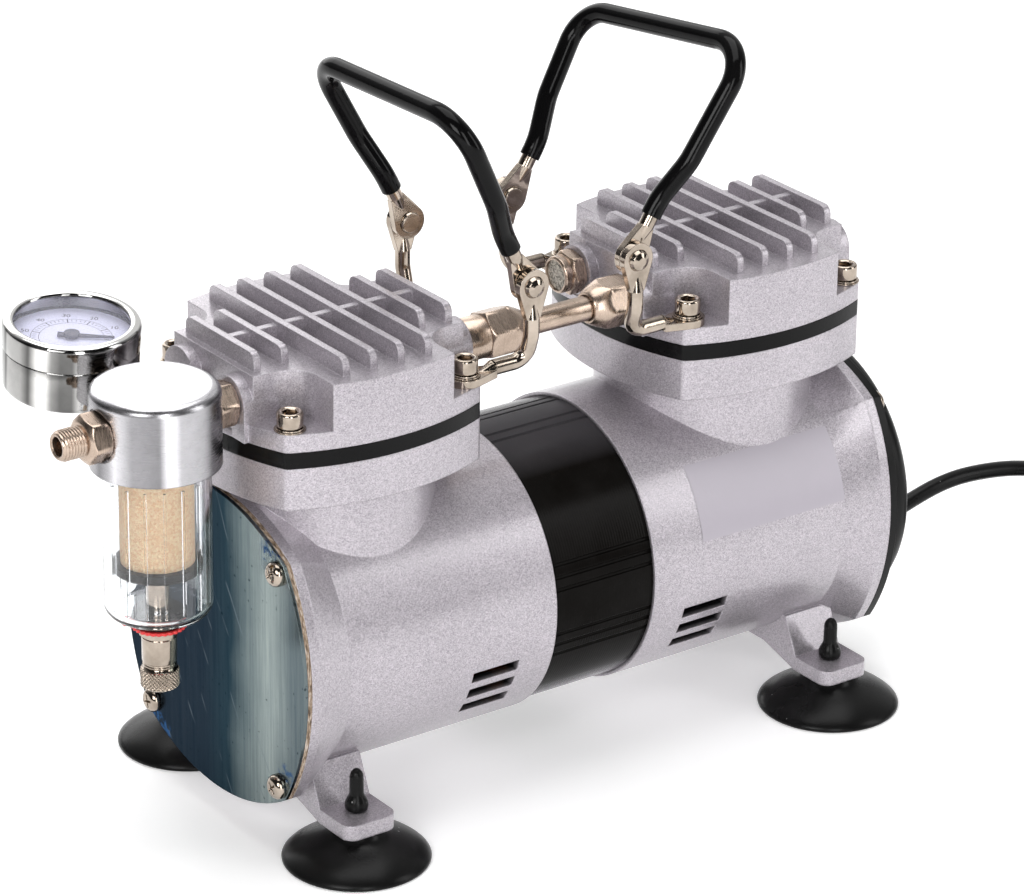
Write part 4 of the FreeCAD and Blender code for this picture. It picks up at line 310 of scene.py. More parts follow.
def plated(name, base, roughness, shade=0.78):
    """Nickel plating with faint clouding, pits and handling marks."""
    made, helper, principled = material(name, metallic=1.0, roughness=roughness)
    cloud = helper.noise(90, 5, 0.6)
    dark = (base[0] * shade, base[1] * shade * 0.985, base[2] * shade * 0.96)
    connect(helper, helper.ramp(cloud, [(0.32, dark), (0.66, base)]), principled, "Base Color")
    marks = helper.noise(260, 5, 0.7, (1, 1, 6))
    connect(helper, helper.between(marks, roughness * 0.6, roughness * 1.7), principled,
            "Roughness")
    bump(helper, principled, helper.noise(500, 4, 0.65), 0.1, 0.00025, 0.0004)
    return made


def banded(name, stops, roughness, tint, centre=(0, 0), grooves=0.0):
    """Bright round metal with upright bands of painted reflection: degrees round its centre, and
    level.
    """
    made, helper, principled = material(name, metallic=1.0, roughness=roughness)
    spot = helper.node("VectorMath", {0: helper.node("TexCoord").outputs["Object"],
                                      1: (*centre, 0)}, operation="SUBTRACT")
    turned = helper.node("Mapping", {"Vector": spot.outputs[0],
                                     "Rotation": (0, 0, math.pi - LEFT_RIM)})
    round_it = helper.node("TexGradient", {"Vector": turned.outputs["Vector"]},
                           gradient_type="RADIAL").outputs["Fac"]
    # Painted reflections: an upright band with its own level at each angle round the centre
    painted_reflection = helper.ramp(round_it, [(degrees / 360, tuple(level * c for c in tint))
                                   for degrees, level in stops])
    wear = helper.ramp(helper.noise(240, 5, 0.7), [(0.35, (0.9, 0.9, 0.9)), (0.6, (1, 1, 1))])
    painted_reflection = helper.mix(1.0, painted_reflection, wear, "MULTIPLY")
    upright = helper.node("SeparateXYZ", {"Vector": helper.node("NewGeometry").outputs["Normal"]})
    top = helper.between(upright.outputs["Z"], 0.0, 1.0, 0.5, 0.85)
    # Painted reflection: faces that look upward are given a pale, even level of the tint
    connect(helper, helper.mix(top, painted_reflection, tuple(0.76 * c for c in tint)), principled,
            "Base Color")
    fine = helper.noise(1300, 4, 0.7, (0.05, 0.05, 1))
    connect(helper, helper.between(fine, roughness * 0.7, roughness * 1.5), principled,
            "Roughness")
    bump(helper, principled, fine, 0.06 + grooves, 0.0002, 0.0006)
    return made


# The end plate's X, and the Y, Z and radius of each heat stain on it, in metres
PLATE_X = -0.09
STAINS = ((-0.0325, 0.1017, 0.007), (-0.0405, 0.0297, 0.0055), (0.034, 0.0195, 0.0045),
          (0.029, 0.0175, 0.0035))


def blued_steel():
    """Blued sheet with a painted reflection, dark at one side and bright like a mirror towards the
    other, brushed upright, with scratches.
    """
    made, helper, principled = material("blued_steel", metallic=1.0, roughness=0.2,
                                        specular_tint=(0.42, 0.48, 0.54))
    spot = helper.node("TexCoord").outputs["Object"]
    across = helper.node("SeparateXYZ", {"Vector": spot}).outputs["Y"]
    # Painted reflection across the plate, with a wavering edge: dark blue at one side, bright
    # grey-green towards the other
    waver = helper.math("MULTIPLY", helper.noise(36, 3), 0.012)
    along = helper.between(helper.math("ADD", across, waver), 0.0, 1.0, 0.048, -0.04)
    tone = helper.ramp(along, [(0.0, (0.030, 0.033, 0.040)), (0.42, (0.029, 0.036, 0.045)),
                               (0.57, (0.032, 0.050, 0.060)), (0.68, (0.15, 0.185, 0.185)),
                               (0.83, (0.34, 0.385, 0.365)), (1.0, (0.15, 0.18, 0.185))])
    brushed = helper.noise(800, 4, 0.7, (1, 1, 0.03))
    grain = helper.ramp(brushed, [(0.35, (0.72, 0.74, 0.77)), (0.6, (1, 1, 1))])
    tone = helper.mix(1.0, tone, grain, "MULTIPLY")
    # Blue heat stains beside the screws and along the lower left edge
    stain = helper.ramp(helper.noise(420, 4, 0.6), [(0.47, (0, 0, 0)), (0.60, (1, 1, 1))])
    near = None
    for y, z, reach in STAINS:
        gap = helper.node("VectorMath", {0: spot, 1: (PLATE_X, y, z)}, operation="DISTANCE")
        edge = helper.between(gap.outputs["Value"], 1.0, 0.0, reach * 0.6, reach)
        near = edge if near is None else helper.math("MAXIMUM", near, edge)
    tone = helper.mix(helper.math("MULTIPLY", stain, near), tone, (0.04, 0.09, 0.20))
    scratch = helper.node("TexWave", {"Vector": helper.coords(turn=(0.55, 0, 0)), "Scale": 34.0,
                                      "Distortion": 2.2, "Detail": 1.0}, bands_direction="Y")
    thin = helper.ramp(scratch.outputs["Fac"], [(0.985, (0, 0, 0)), (0.998, (1, 1, 1))])
    patchy = helper.ramp(helper.noise(70, 2), [(0.55, (0, 0, 0)), (0.62, (1, 1, 1))])
    marks = helper.math("MULTIPLY", helper.math("MULTIPLY", thin, patchy), 0.5)
    tone = helper.mix(marks, tone, (0.17, 0.20, 0.22))
    pits = helper.ramp(helper.noise(520, 2, 0.4), [(0.70, (1, 1, 1)), (0.74, (0.35, 0.38, 0.4))])
    connect(helper, helper.mix(1.0, tone, pits, "MULTIPLY"), principled, "Base Color")
    connect(helper, helper.between(brushed, 0.12, 0.3), principled, "Roughness")
    bump(helper, principled, brushed, 0.1, 0.0002, 0.0004)
    return made


def soft_black(name, base, roughness, speck=0.0, shine=0.14):
    """Moulded black plastic or rubber with a fine grain and a little dust."""
    made, helper, principled = material(name, roughness=roughness, specular_ior_level=shine)
    dots = helper.node("TexVoronoi", {"Vector": helper.coords(), "Scale": 330.0})
    chosen = helper.node("SeparateColor", {"Color": dots.outputs["Color"]}).outputs[0]
    dust = helper.math("MULTIPLY", helper.math("LESS_THAN", dots.outputs["Distance"], 0.11),
                       helper.math("GREATER_THAN", chosen, 0.86))
    cloud = helper.noise(60, 4)
    body = helper.ramp(cloud, [(0.3, (base, base, base)), (0.75, (base * 1.6,) * 3)])
    grey = helper.ramp(dust, [(0, (0, 0, 0)), (1, (speck, speck, speck))])
    connect(helper, helper.mix(1.0, body, grey, "ADD"), principled, "Base Color")
    connect(helper, helper.between(cloud, roughness * 0.85, min(roughness * 1.3, 1)), principled,
            "Roughness")
    bump(helper, principled, helper.noise(1300, 3), 0.15, 0.0002, 0.0006)
    return made


def clear_plastic(name, tint, roughness):
    """Clear moulded plastic with faint unevenness."""
    made, helper, principled = material(name, roughness=roughness, ior=1.49,
                                        transmission_weight=1.0)
    cloud = helper.noise(120, 3)
    connect(helper, helper.ramp(cloud, [(0.3, tint), (0.8, tuple(min(1, c * 1.03) for c in tint))]),
            principled, "Base Color")
    bump(helper, principled, helper.noise(200, 2), 0.05, 0.0002)
    return made


def hazy_glass(name):
    """Thin flat glass with a faint pale haze."""
    made, helper, principled = material(name, roughness=0.03, alpha=0.1)
    haze = helper.noise(60, 3)
    connect(helper, helper.ramp(haze, [(0.3, (0.78, 0.78, 0.96)), (0.75, (0.88, 0.88, 1.0))]),
            principled, "Base Color")
    bump(helper, principled, helper.noise(40, 2), 0.03, 0.0002)
    return made


def grains(name, dark, light, scale, metallic, relief, roughness=0.6):
    """Sintered or pressed grains."""
    made, helper, principled = material(name, metallic=metallic, roughness=roughness)
    cells = helper.node("TexVoronoi", {"Vector": helper.coords(), "Scale": scale})
    shade = helper.node("SeparateColor", {"Color": cells.outputs["Color"]}).outputs[1]
    connect(helper, helper.ramp(shade, [(0.0, dark), (1.0, light)]), principled, "Base Color")
    bump(helper, principled, cells.outputs["Distance"], relief, 0.0005, 0.0003)
    return made


def layered_cork():
    """Pressed cork sheet whose cut edge shows pale and dark layers."""
    made, helper, principled = material("cork", roughness=0.8)
    layers = helper.noise(420, 3, 0.6, (5, 1, 1))
    tone = helper.ramp(layers, [(0.36, (0.07, 0.045, 0.03)), (0.48, (0.22, 0.15, 0.095)),
                                (0.58, (0.38, 0.30, 0.23)), (0.68, (0.55, 0.48, 0.43))])
    connect(helper, tone, principled, "Base Color")
    bump(helper, principled, layers, 0.4, 0.0003, 0.0003)
    return made


def plain_metal(name, base, metallic=1.0, roughness=0.35, shade=0.85):
    """A plain finish with slight clouding and a fine grain."""
    made, helper, principled = material(name, metallic=metallic, roughness=roughness)
    cloud = helper.noise(130, 4)
    dark = tuple(c * shade for c in base)
    connect(helper, helper.ramp(cloud, [(0.3, dark), (0.7, base)]), principled, "Base Color")
    bump(helper, principled, helper.noise(900, 3), 0.15, 0.0002, 0.0004)
    return made


LOOKS = {
    "silver_paint": silver_paint(),
    "stack_lacquer": stack_lacquer(),
    # Copper darkened well below its own colour: painted shade for the inside seen through the slots
    "copper_winding": plain_metal("copper_winding", (0.16, 0.07, 0.035), 1.0, 0.35),
    "blued_steel": blued_steel(),
    "cork": layered_cork(),
    "nickel": plated("nickel", (0.51, 0.435, 0.365), 0.09, 0.56),
    "dull_nickel": plated("dull_nickel", (0.55, 0.435, 0.355), 0.24, 0.7),
    "black_plastic": soft_black("black_plastic", 0.004, 0.32),
    "black_anodised": black_gloss("black_anodised", 0.12, 0.003),
    "liner_metal": plain_metal("liner_metal", (0.5, 0.5, 0.52)),
    "piston_alloy": plain_metal("piston_alloy", (0.66, 0.66, 0.68)),
    "spring_steel": plain_metal("spring_steel", (0.55, 0.55, 0.56), 1.0, 0.25),
    "dark_steel": plain_metal("dark_steel", (0.35, 0.35, 0.36)),
    # Painted reflection bands of the filter head: degrees round its axis and level
    "brushed_aluminium": banded("brushed_aluminium", [
        (0, 0.35), (29, 0.42), (38, 0.24), (50, 0.50), (57, 0.90), (64, 0.66), (74, 0.36),
        (98, 0.27), (104, 0.85), (112, 0.95), (117, 0.58), (128, 0.55), (141, 0.44), (150, 0.22),
        (166, 0.12), (180, 0.3), (205, 0.7), (230, 0.4), (270, 0.8), (300, 0.45), (335, 0.6),
        (360, 0.35)],
        0.24, (0.85, 0.835, 0.87), (FILTER_X / 1000 + SHIFT, PORT_Y / 1000), 0.14),
    "clear_bowl": clear_plastic("clear_bowl", (0.95, 0.96, 0.975), 0.03),
    "sintered_bronze": grains("sintered_bronze", (0.82, 0.49, 0.25), (0.95, 0.73, 0.46), 1500.0,
                              0.0, 0.5, 0.8),
    "sintered_grey": grains("sintered_grey", (0.13, 0.12, 0.10), (0.62, 0.57, 0.50), 1700.0,
                            0.6, 0.7, 0.45),
    "red_plastic": plain_metal("red_plastic", (0.68, 0.03, 0.03), 0.0, 0.3),
    "black_rubber": soft_black("black_rubber", 0.004, 0.26, 0.2, 0.14),
    # Painted reflection bands of the gauge's chrome: degrees round its axis and level
    "chrome": banded("chrome", [
        (0, 0.25), (20, 0.34), (25, 0.08), (29, 0.50), (48, 0.42), (57, 0.10), (62, 0.55),
        (66, 0.97), (73, 0.92), (78, 0.30), (86, 0.14), (96, 0.16), (102, 0.62), (107, 0.55),
        (112, 0.10), (122, 0.13), (130, 0.75), (137, 0.22), (147, 0.55), (158, 0.12),
        (180, 0.3), (200, 0.8), (225, 0.2), (250, 0.6), (280, 0.15), (315, 0.85), (340, 0.2),
        (360, 0.25)],
        0.07, (0.93, 0.92, 0.90)),
    "lens": hazy_glass("lens"),
    "dial_enamel": plain_metal("dial_enamel", (0.81, 0.81, 1.0), 0.0, 0.5, 0.98),
    "pointer_black": plain_metal("pointer_black", (0.05, 0.047, 0.075), 0.0, 0.5),
    "black_vinyl": black_gloss("black_vinyl", 0.07, 0.0025),
    "label_film": plain_metal("label_film", (0.40, 0.37, 0.415), 0.0, 0.32, 0.98),
}
SLOTS = {"dull_nickel": "nickel", "sintered_grey": "sintered_bronze",
         "label_film": "silver_paint"}
OWN_LOOKS = {"crossover_tube": "dull_nickel"}
for entry in frame["record"]["subparts"]:
    shown = nodes[entry["node"]].data
    shown.materials.clear()
    shown.materials.append(LOOKS[OWN_LOOKS.get(entry["node"], entry["material_slot"])])


# Meshes built from rings about a local Z axis

def rings(name, levels, steps, look, body="pump", close=(True, True), sharp=35):
    """Skin a stack of (radius, height) rings; a radius may be a function of the angle."""
    mesh = bmesh.new()
    rows = []
    for radius, height in levels:
        row = []
        for index in range(steps):
            angle = 2 * math.pi * index / steps
            size = radius(angle) if callable(radius) else radius
            row.append(mesh.verts.new((size * math.cos(angle) / 1000,
                                       size * math.sin(angle) / 1000, height / 1000)))
        rows.append(row)
    for lower, upper in zip(rows, rows[1:]):
        for index in range(steps):
            after = (index + 1) % steps
            mesh.faces.new((lower[index], lower[after], upper[after], upper[index]))
    for row, height, wanted in ((rows[0], levels[0][1], close[0]),
                                (rows[-1], levels[-1][1], close[1])):
        if wanted:
            tip = mesh.verts.new((0, 0, height / 1000))
            for index in range(steps):
                mesh.faces.new((row[index], tip, row[(index + 1) % steps]))
    bmesh.ops.recalc_face_normals(mesh, faces=mesh.faces[:])
    return finished(name, mesh, look, body, sharp)


def finished(name, mesh, look, body="pump", sharp=35):
    """Turn a bmesh into a piece with smooth faces and its sharp edges kept."""
    data = bpy.data.meshes.new(name)
    mesh.to_mesh(data)
    mesh.free()
    data.shade_smooth()
    data.set_sharp_from_angle(angle=math.radians(sharp))
    made = bpy.data.objects.new(name, data)
    bpy.context.scene.collection.objects.link(made)
    data.materials.append(LOOKS[look])
    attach(made, body)
    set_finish(made, SLOTS.get(look, look))
    return made


def place(made, x, y, z, towards=(0, 0, 1), spin=0):
    """Stand a piece at a point with its local Z along a direction, turned about it."""
    aim = Vector(towards).to_track_quat("Z", "Y").to_matrix().to_4x4()
    made.matrix_world = (Matrix.Translation(at(x, y, z)) @ aim
                         @ Matrix.Rotation(math.radians(spin), 4, "Z"))
    return made


def again(made, name, body="pump"):
    """Another piece with the same mesh."""
    other = bpy.data.objects.new(name, made.data)
    bpy.context.scene.collection.objects.link(other)
    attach(other, body)
    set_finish(other, made["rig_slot"])
    return other


def hexagon(circle, rounding=0.0):
    """Radius of a hexagon by angle, from its corner radius."""
    half = math.pi / 6
    flat = circle * math.cos(half)

    def radius(angle):
        turn = (angle + half) % (2 * half) - half
        return min(flat / math.cos(turn), circle - rounding)
    return radius


def capped(shape, cap):
    """A hexagon's radius, held inside a cone that turns its corners."""
    return lambda angle: min(shape(angle), cap)


def chamfered_hex(circle, length, depth=0.9):
    """Rings of a hexagon whose ends are turned to a cone, as on nuts."""
    shape = hexagon(circle, 0.12)
    turned = circle * math.cos(math.pi / 6) * 0.97
    low = [(capped(shape, turned + share * (circle - turned)), depth * share)
           for share in (0, 0.15, 0.4, 0.7, 1.0)]
    high = [(radius, length - height) for radius, height in reversed(low)]
    return low + high


def knurled(radius, length, teeth, depth, rows):
    """Rings of a diamond knurl between two plain edges."""
    def ridge(height):
        def size(angle):
            turns = angle * teeth / (2 * math.pi)
            one = abs((turns + height * teeth / (2 * math.pi * radius)) % 1 - 0.5) * 2
            two = abs((turns - height * teeth / (2 * math.pi * radius)) % 1 - 0.5) * 2
            return radius - depth * max(one, two) ** 1.5
        return size
    return [(ridge(length * row / rows), length * row / rows) for row in range(rows + 1)]


def threaded(radius, length, pitch, depth, rows_per_pitch=8):
    """Rings of a V thread with rounded crests, tapering in at its start."""
    levels = []
    for row in range(int(length / pitch * rows_per_pitch) + 1):
        height = row * pitch / rows_per_pitch
        fade = min(1.0, (length - height) / pitch + 0.15)

        def size(angle, height=height, fade=fade):
            phase = (height / pitch - angle / (2 * math.pi)) % 1
            wave = 1 - abs(phase - 0.5) * 2
            return radius - depth * (1 - min(1.0, wave * 1.25) * fade)
        levels.append((size, height))
    return levels


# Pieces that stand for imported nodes, by node
COVER = {}


def make_head_screws():
    """Socket heads on split and flat washers."""
    head, height = 4.1, 5.0
    socket = hexagon(2.6)
    side = [(head - 0.55, 0), (head - 0.1, 0.25), (head, 0.7), (head, height - 0.75),
            (head - 0.12, height - 0.35), (head - 0.45, height - 0.05), (head - 0.8, height)]
    recess = [(3.15, height), (2.85, height - 0.15), (socket, height - 0.4),
              (socket, height - 2.6), (1.6, height - 3.1)]
    screw = rings("head_screw_1", side + recess, 48, "nickel", close=(True, True), sharp=40)
    flat = rings("head_washer_1", [(2.6, 0), (4.75, 0), (4.9, 0.12), (4.9, 0.42), (4.75, 0.5),
                                   (2.6, 0.5), (2.6, 0)], 48, "nickel", close=(False, False))
    mesh = bmesh.new()
    loops = []
    for index in range(41):
        angle = math.radians(6 + 348 * index / 40)
        lift = 0.5 + 0.05 * index / 40
        loops.append([mesh.verts.new((r * math.cos(angle) / 1000, r * math.sin(angle) / 1000,
                                      z / 1000)) for r, z in
                      ((2.7, lift), (4.45, lift), (4.45, 1.05), (2.7, 1.05))])
    for before, after in zip(loops, loops[1:]):
        for index in range(4):
            mesh.faces.new((before[index], before[(index + 1) % 4],
                            after[(index + 1) % 4], after[index]))
    mesh.faces.new(loops[0][::-1])
    mesh.faces.new(loops[-1])
    bmesh.ops.recalc_face_normals(mesh, faces=mesh.faces[:])
    split = finished("head_split_1", mesh, "nickel")
    picker = random.Random(5)
    count = 0
    for side_x in (-1, 1):
        for across in (-1, 1):
            for along in (-1, 1):
                count += 1
                x, y = side_x * 75 + across * 32, along * 32
                z = 141.5 + (2.5 if across == -side_x else 0)
                trio = (screw, flat, split) if count == 1 else tuple(
                    again(item, item.name[:-1] + str(count)) for item in (screw, flat, split))
                turn = picker.uniform(0, 360)
                place(trio[0], x, y, z + 1.1, spin=turn)
                place(trio[1], x, y, z)
                place(trio[2], x, y, z, spin=turn * 1.7)
                for item, node in zip(trio, ("head_screws", "head_washers", "head_washers")):
                    COVER.setdefault(node, []).append(item)


def cross_recess(reach, half):
    """Radius of a cross by angle."""
    def radius(angle):
        turn = abs((angle + math.pi / 4) % (math.pi / 2) - math.pi / 4)
        return min(reach, half / max(math.sin(turn), 1e-6))
    return radius


def make_cover_screws():
    """Pan heads with cross slots on the end plate and the end cap."""
    dome = [(3.8, 0), (4.0, 0.3), (4.0, 0.9), (3.75, 1.6), (3.2, 2.25), (2.6, 2.6)]
    cross, small = cross_recess(2.2, 0.42), cross_recess(1.5, 0.3)
    recess = [(2.5, 2.64), (cross, 2.66), (small, 1.3), (0.3, 0.9)]
    screw = rings("cover_screw_1", dome + recess, 64, "nickel", sharp=38)
    picker = random.Random(9)
    count = 0
    for side, face in ((-1, -114.7), (1, 118.2)):
        for across in (-1, 1):
            for along in (-1, 1):
                count += 1
                item = screw if count == 1 else again(screw, "cover_screw_%d" % count)
                place(item, face, across * 36, AXIS_HEIGHT + along * 36, (side, 0, 0),
                      picker.uniform(0, 90))
                COVER.setdefault("cover_screws", []).append(item)


def make_fittings():
    """Nuts, fittings and silencers between the heads, and the filter's two fittings."""
    collar = [(4.3, 0), (6.9, 0), (7.0, 0.15), (7.0, 8.3), (6.85, 8.5), (4.3, 8.5)]
    left = rings("tube_fitting_left", collar, 64, "dull_nickel")
    place(left, -33, PORT_Y, PORT_HEIGHT, (1, 0, 0))
    right = rings("tube_fitting_right", [(4.3, 0), (6.9, 0), (6.9, 1), (4.3, 1)], 64, "dull_nickel")
    place(right, 33, PORT_Y, PORT_HEIGHT, (-1, 0, 0))
    COVER["tube_fittings"] = [left, right]
    hexes = chamfered_hex(8.3, 9.5)[:-1]
    nose = [(hexagon(8.3, 0.12), 9.2), (capped(hexagon(8.3, 0.12), 7.9), 9.9),
            (capped(hexagon(8.3, 0.12), 7.35), 11.0), (6.75, 12.4), (6.0, 14.0),
            (5.3, 15.2), (5.0, 15.5), (4.3, 15.5), (4.1, 15.1), (4.05, 14)]
    levels = [level for level in hexes if level[1] < 9.1] + nose
    nut = rings("tube_nut_left", levels, 96, "dull_nickel", close=(True, False))
    place(nut, -24.5, PORT_Y, PORT_HEIGHT, (1, 0, 0), 12)
    other = again(nut, "tube_nut_right")
    place(other, 32, PORT_Y, PORT_HEIGHT, (-1, 0, 0), 24)
    COVER["tube_nuts"] = [nut, other]
    body = chamfered_hex(7.5, 4.5, 0.6) + [(6.0, 4.6), (6.05, 4.7), (6.05, 7.4), (5.8, 7.75),
                                           (5.4, 7.95), (5.1, 7.95), (5.0, 7.6), (5.0, 7.0)]
    disc = [(4.98, 7.0), (4.98, 7.25), (3.5, 7.4), (1.8, 7.5)]
    picker = random.Random(3)
    for side, name in ((-1, "left"), (1, "right")):
        plug = rings("silencer_" + name, body, 96, "dull_nickel", close=(True, False))
        face = rings("silencer_disc_" + name, disc, 48, "sintered_grey", close=(False, True))
        for item in (plug, face):
            place(item, side * 33, -PORT_Y, PORT_HEIGHT, (-side, 0, 0), picker.uniform(0, 60))
            COVER.setdefault("silencers", []).append(item)
    # Inlet nipple: hex, turned neck and outside thread
    nipple = chamfered_hex(8.0, 6.7) + [(6.6, 6.8), (5.9, 7.4), (5.2, 7.5)]
    thread = [(size, 7.6 + height) for size, height in threaded(4.86, 7.3, 1.0, 0.5)]
    mouth = [(4.2, 15.2), (3.9, 15.5), (3.35, 15.5), (3.0, 15.2), (3.0, 9.0)]
    made = rings("inlet_nipple_turned", nipple + thread + mouth, 96, "dull_nickel",
                 close=(True, True), sharp=45)
    place(made, -161.5, PORT_Y, PORT_HEIGHT, (-1, 0, 0), 17)
    COVER["inlet_nipple"] = [made]
    made = rings("filter_adapter_hex", chamfered_hex(7.6, 7.5, 0.7), 96, "dull_nickel")
    place(made, -124.5, PORT_Y, PORT_HEIGHT, (1, 0, 0), 21)
    COVER["filter_adapter"] = [made]


# Height of the drain knob's top, where the valve body begins
KNOB_TOP = 66.4


def make_drain():
    """The drain valve under the bowl, in plated brass, with its seal and lock ring."""
    body = [(1.9, 0), (5.0, 0), (5.2, 0.2), (5.2, 0.6), (4.9, 0.75), (4.9, 1.35), (5.25, 1.5),
            (5.4, 1.8), (5.4, 9.6), (5.1, 9.9)]
    crown = [(radius, 10.0 + height) for radius, height in chamfered_hex(6.3, 3.0, 0.5)]
    tube = [(3.6, 13.1), (3.6, 29.2), (3.3, 29.6), (2.6, 29.6), (2.6, 24.0)]
    made = rings("drain_valve", body + crown + tube, 96, "nickel", close=(True, True))
    place(made, FILTER_X, PORT_Y, KNOB_TOP, spin=11)
    COVER["drain_body"] = [made]
    skirt = [(3.2, -7.2), (5.3, -7.2), (5.75, -6.8)]
    knurl = [(size, height - 6.6) for size, height in knurled(6.1, 5.2, 30, 0.75, 40)]
    made = rings("drain_knurl", skirt + knurl + [(5.6, -1.3), (4.9, -0.9), (4.6, -0.2),
                                                 (1.9, -0.2)],
                 176, "nickel", body="knob", close=(True, True), sharp=50)
    place(made, FILTER_X, PORT_Y, KNOB_TOP)
    COVER["drain_knob"] = [made]

    def serrated(angle):
        return 8.1 + 0.5 * abs(math.sin(angle * 14))
    ring = rings("lock_ring", [(3.8, 0), (serrated, 0), (serrated, 1.0), (3.8, 1.0)], 224,
                 "red_plastic", close=(False, False))
    place(ring, FILTER_X, PORT_Y, 79.5)
    mesh = bmesh.new()
    outline = [(7.4, -1.9), (10.6, -1.9), (10.6, -1.1), (9.7, -0.9), (11.2, 0.4), (10.4, 1.6),
               (9.3, 1.2), (8.6, 2.4), (7.4, 2.4)]
    low, high = ([mesh.verts.new((x / 1000, y / 1000, z)) for x, y in outline]
                 for z in (0.0001, 0.0011))
    mesh.faces.new(low[::-1])
    mesh.faces.new(high)
    for index in range(len(low)):
        after = (index + 1) % len(low)
        mesh.faces.new((low[index], low[after], high[after], high[index]))
    tab = finished("lock_ring_tab", mesh, "red_plastic")
    place(tab, FILTER_X, PORT_Y, 79.4, spin=-36)
    COVER["drain_lock_ring"] = [ring, tab]
    seal = rings("bowl_under_seal", [(3.8, 0), (7.6, 0), (8.1, 0.35), (8.3, 1.0), (8.3, 1.7),
                                     (7.9, 2.1), (7.7, 2.6), (7.9, 3.0), (7.9, 3.35), (3.8, 3.4)],
                 72, "black_rubber", close=(False, False))
    place(seal, FILTER_X, PORT_Y, 80.6)
    COVER["drain_seal"] = [seal]


GAUGE_TURN = Matrix.Rotation(math.radians(5), 4, "X")


def in_gauge(made, z=0.0, spin=0.0, x=0.0, y=0.0):
    """Place a piece in the gauge's tilted frame, where Z = 0 is the rim."""
    made.matrix_world = (Matrix.Translation(at(*GAUGE_RIM)) @ GAUGE_TURN
                         @ Matrix.Translation((x / 1000, y / 1000, z / 1000))
                         @ Matrix.Rotation(math.radians(spin), 4, "Z"))
    return made


def make_gauge():
    """The turned bezel, the case behind it and the dial."""
    bezel = [(17.6, -1.4), (17.62, -0.9), (17.85, -0.35), (18.3, -0.06), (18.8, 0), (20.1, -0.1),
             (20.75, -0.5), (21.1, -1.1), (21.2, -1.8), (21.2, -8.1), (21.1, -8.4), (20.6, -8.5),
             (20.2, -8.5)]
    made = rings("bezel_turned", bezel, 128, "chrome", close=(False, False), sharp=50)
    COVER["gauge_bezel"] = [in_gauge(made)]
    case = [(20.0, -6.6), (20.0, -8.4), (20.75, -8.55), (20.9, -8.8), (20.9, -20.2),
            (20.6, -21.3), (19.9, -22.0), (18.9, -22.2), (6, -22.2)]
    made = rings("case_turned", case, 128, "chrome", close=(False, True), sharp=50)
    COVER["gauge_case"] = [in_gauge(made)]
    make_dial()


def flat_bar(mesh, start, end, width, height):
    """A flat printed line between two points in the dial's plane."""
    way = (Vector(end) - Vector(start)).normalized()
    across = Vector((-way.y, way.x)) * width / 2
    corners = [Vector(start) - across, Vector(end) - across, Vector(end) + across,
               Vector(start) + across]
    mesh.faces.new([mesh.verts.new((c.x / 1000, c.y / 1000, height / 1000)) for c in corners])


def make_dial():
    """Plain scale: ticks on two arcs over 270 degrees, and plain numbers outside them."""
    top = -6.4
    face = rings("dial_face", [(0.9, 0), (19.6, 0), (19.9, 0.02)], 128, "dial_enamel",
                 close=(False, False))
    in_gauge(face, top)
    mesh = bmesh.new()
    # Direction of the first mark, the scale's span in degrees and its number of steps
    first, span, count = -36, 270, 40
    for index in range(count + 1):
        angle = math.radians(first + span * index / count)
        inner, outer = (10.1, 12.4) if index % 5 == 0 else (10.9, 12.0)
        way = Vector((math.cos(angle), math.sin(angle)))
        flat_bar(mesh, way * inner, way * outer, 0.32 if index % 5 == 0 else 0.2, 0.06)
    for radius, width in ((10.0, 0.16), (12.5, 0.16)):
        for index in range(90):
            ends = [math.radians(first + span * (index + more) / 90) for more in (0, 1)]
            flat_bar(mesh, *[Vector((math.cos(a), math.sin(a))) * radius for a in ends], width,
                     0.05)
    scale = finished("dial_scale", mesh, "pointer_black")
    in_gauge(scale, top)
    COVER["gauge_dial"] = [face, scale]
    for index in range(9):
        angle = math.radians(first + span * index / 8)
        data = bpy.data.curves.new("dial_number_%d" % index, "FONT")
        data.body = str(10 * index)
        data.size = 0.0027
        data.align_x, data.align_y = "CENTER", "CENTER"
        text = bpy.data.objects.new("dial_number_%d" % index, data)
        bpy.context.scene.collection.objects.link(text)
        flat = bpy.data.meshes.new_from_object(text)
        bpy.data.objects.remove(text)
        number = bpy.data.objects.new("dial_number_%d" % index, flat)
        bpy.context.scene.collection.objects.link(number)
        flat.materials.clear()
        flat.materials.append(LOOKS["pointer_black"])
        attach(number, "pump")
        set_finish(number, "pointer_black")
        in_gauge(number, top + 0.06, first, 14.8 * math.cos(angle), 14.8 * math.sin(angle))
        COVER["gauge_dial"].append(number)


def make_cups():
    """Soft suction cups: thin skirt, thick neck under the foot, locking bulb and pull tip."""
    skirt = [(0.0001, 6.9), (4, 6.7), (8, 6.0), (14, 3.9), (19, 1.3), (21.3, 0.1), (22.6, 0.0),
             (23.2, 0.35), (23.3, 0.9), (23.05, 1.5), (22.0, 2.6), (19.8, 4.3), (17, 5.8),
             (13.8, 7.2), (11.2, 8.2), (9.7, 9.1), (8.8, 10.1), (8.3, 11.2), (7.9, 11.5),
             (2.25, 11.5), (2.25, 16.5), (3.0, 16.6), (3.55, 17.2), (3.7, 18.1), (3.6, 19.3),
             (3.1, 20.5), (2.5, 21.6), (2.25, 22.6), (2.2, 27.6), (2.1, 28.6), (1.7, 29.6),
             (1.0, 30.4), (0.3, 30.7)]
    cup = rings("cup_1", skirt, 96, "black_rubber", sharp=60)
    count = 0
    for across in (-1, 1):
        for along in (-1, 1):
            count += 1
            item = cup if count == 1 else again(cup, "cup_%d" % count)
            place(item, across * 94, along * 48.1, 0, spin=40 * count)
            COVER.setdefault("suction_cups", []).append(item)


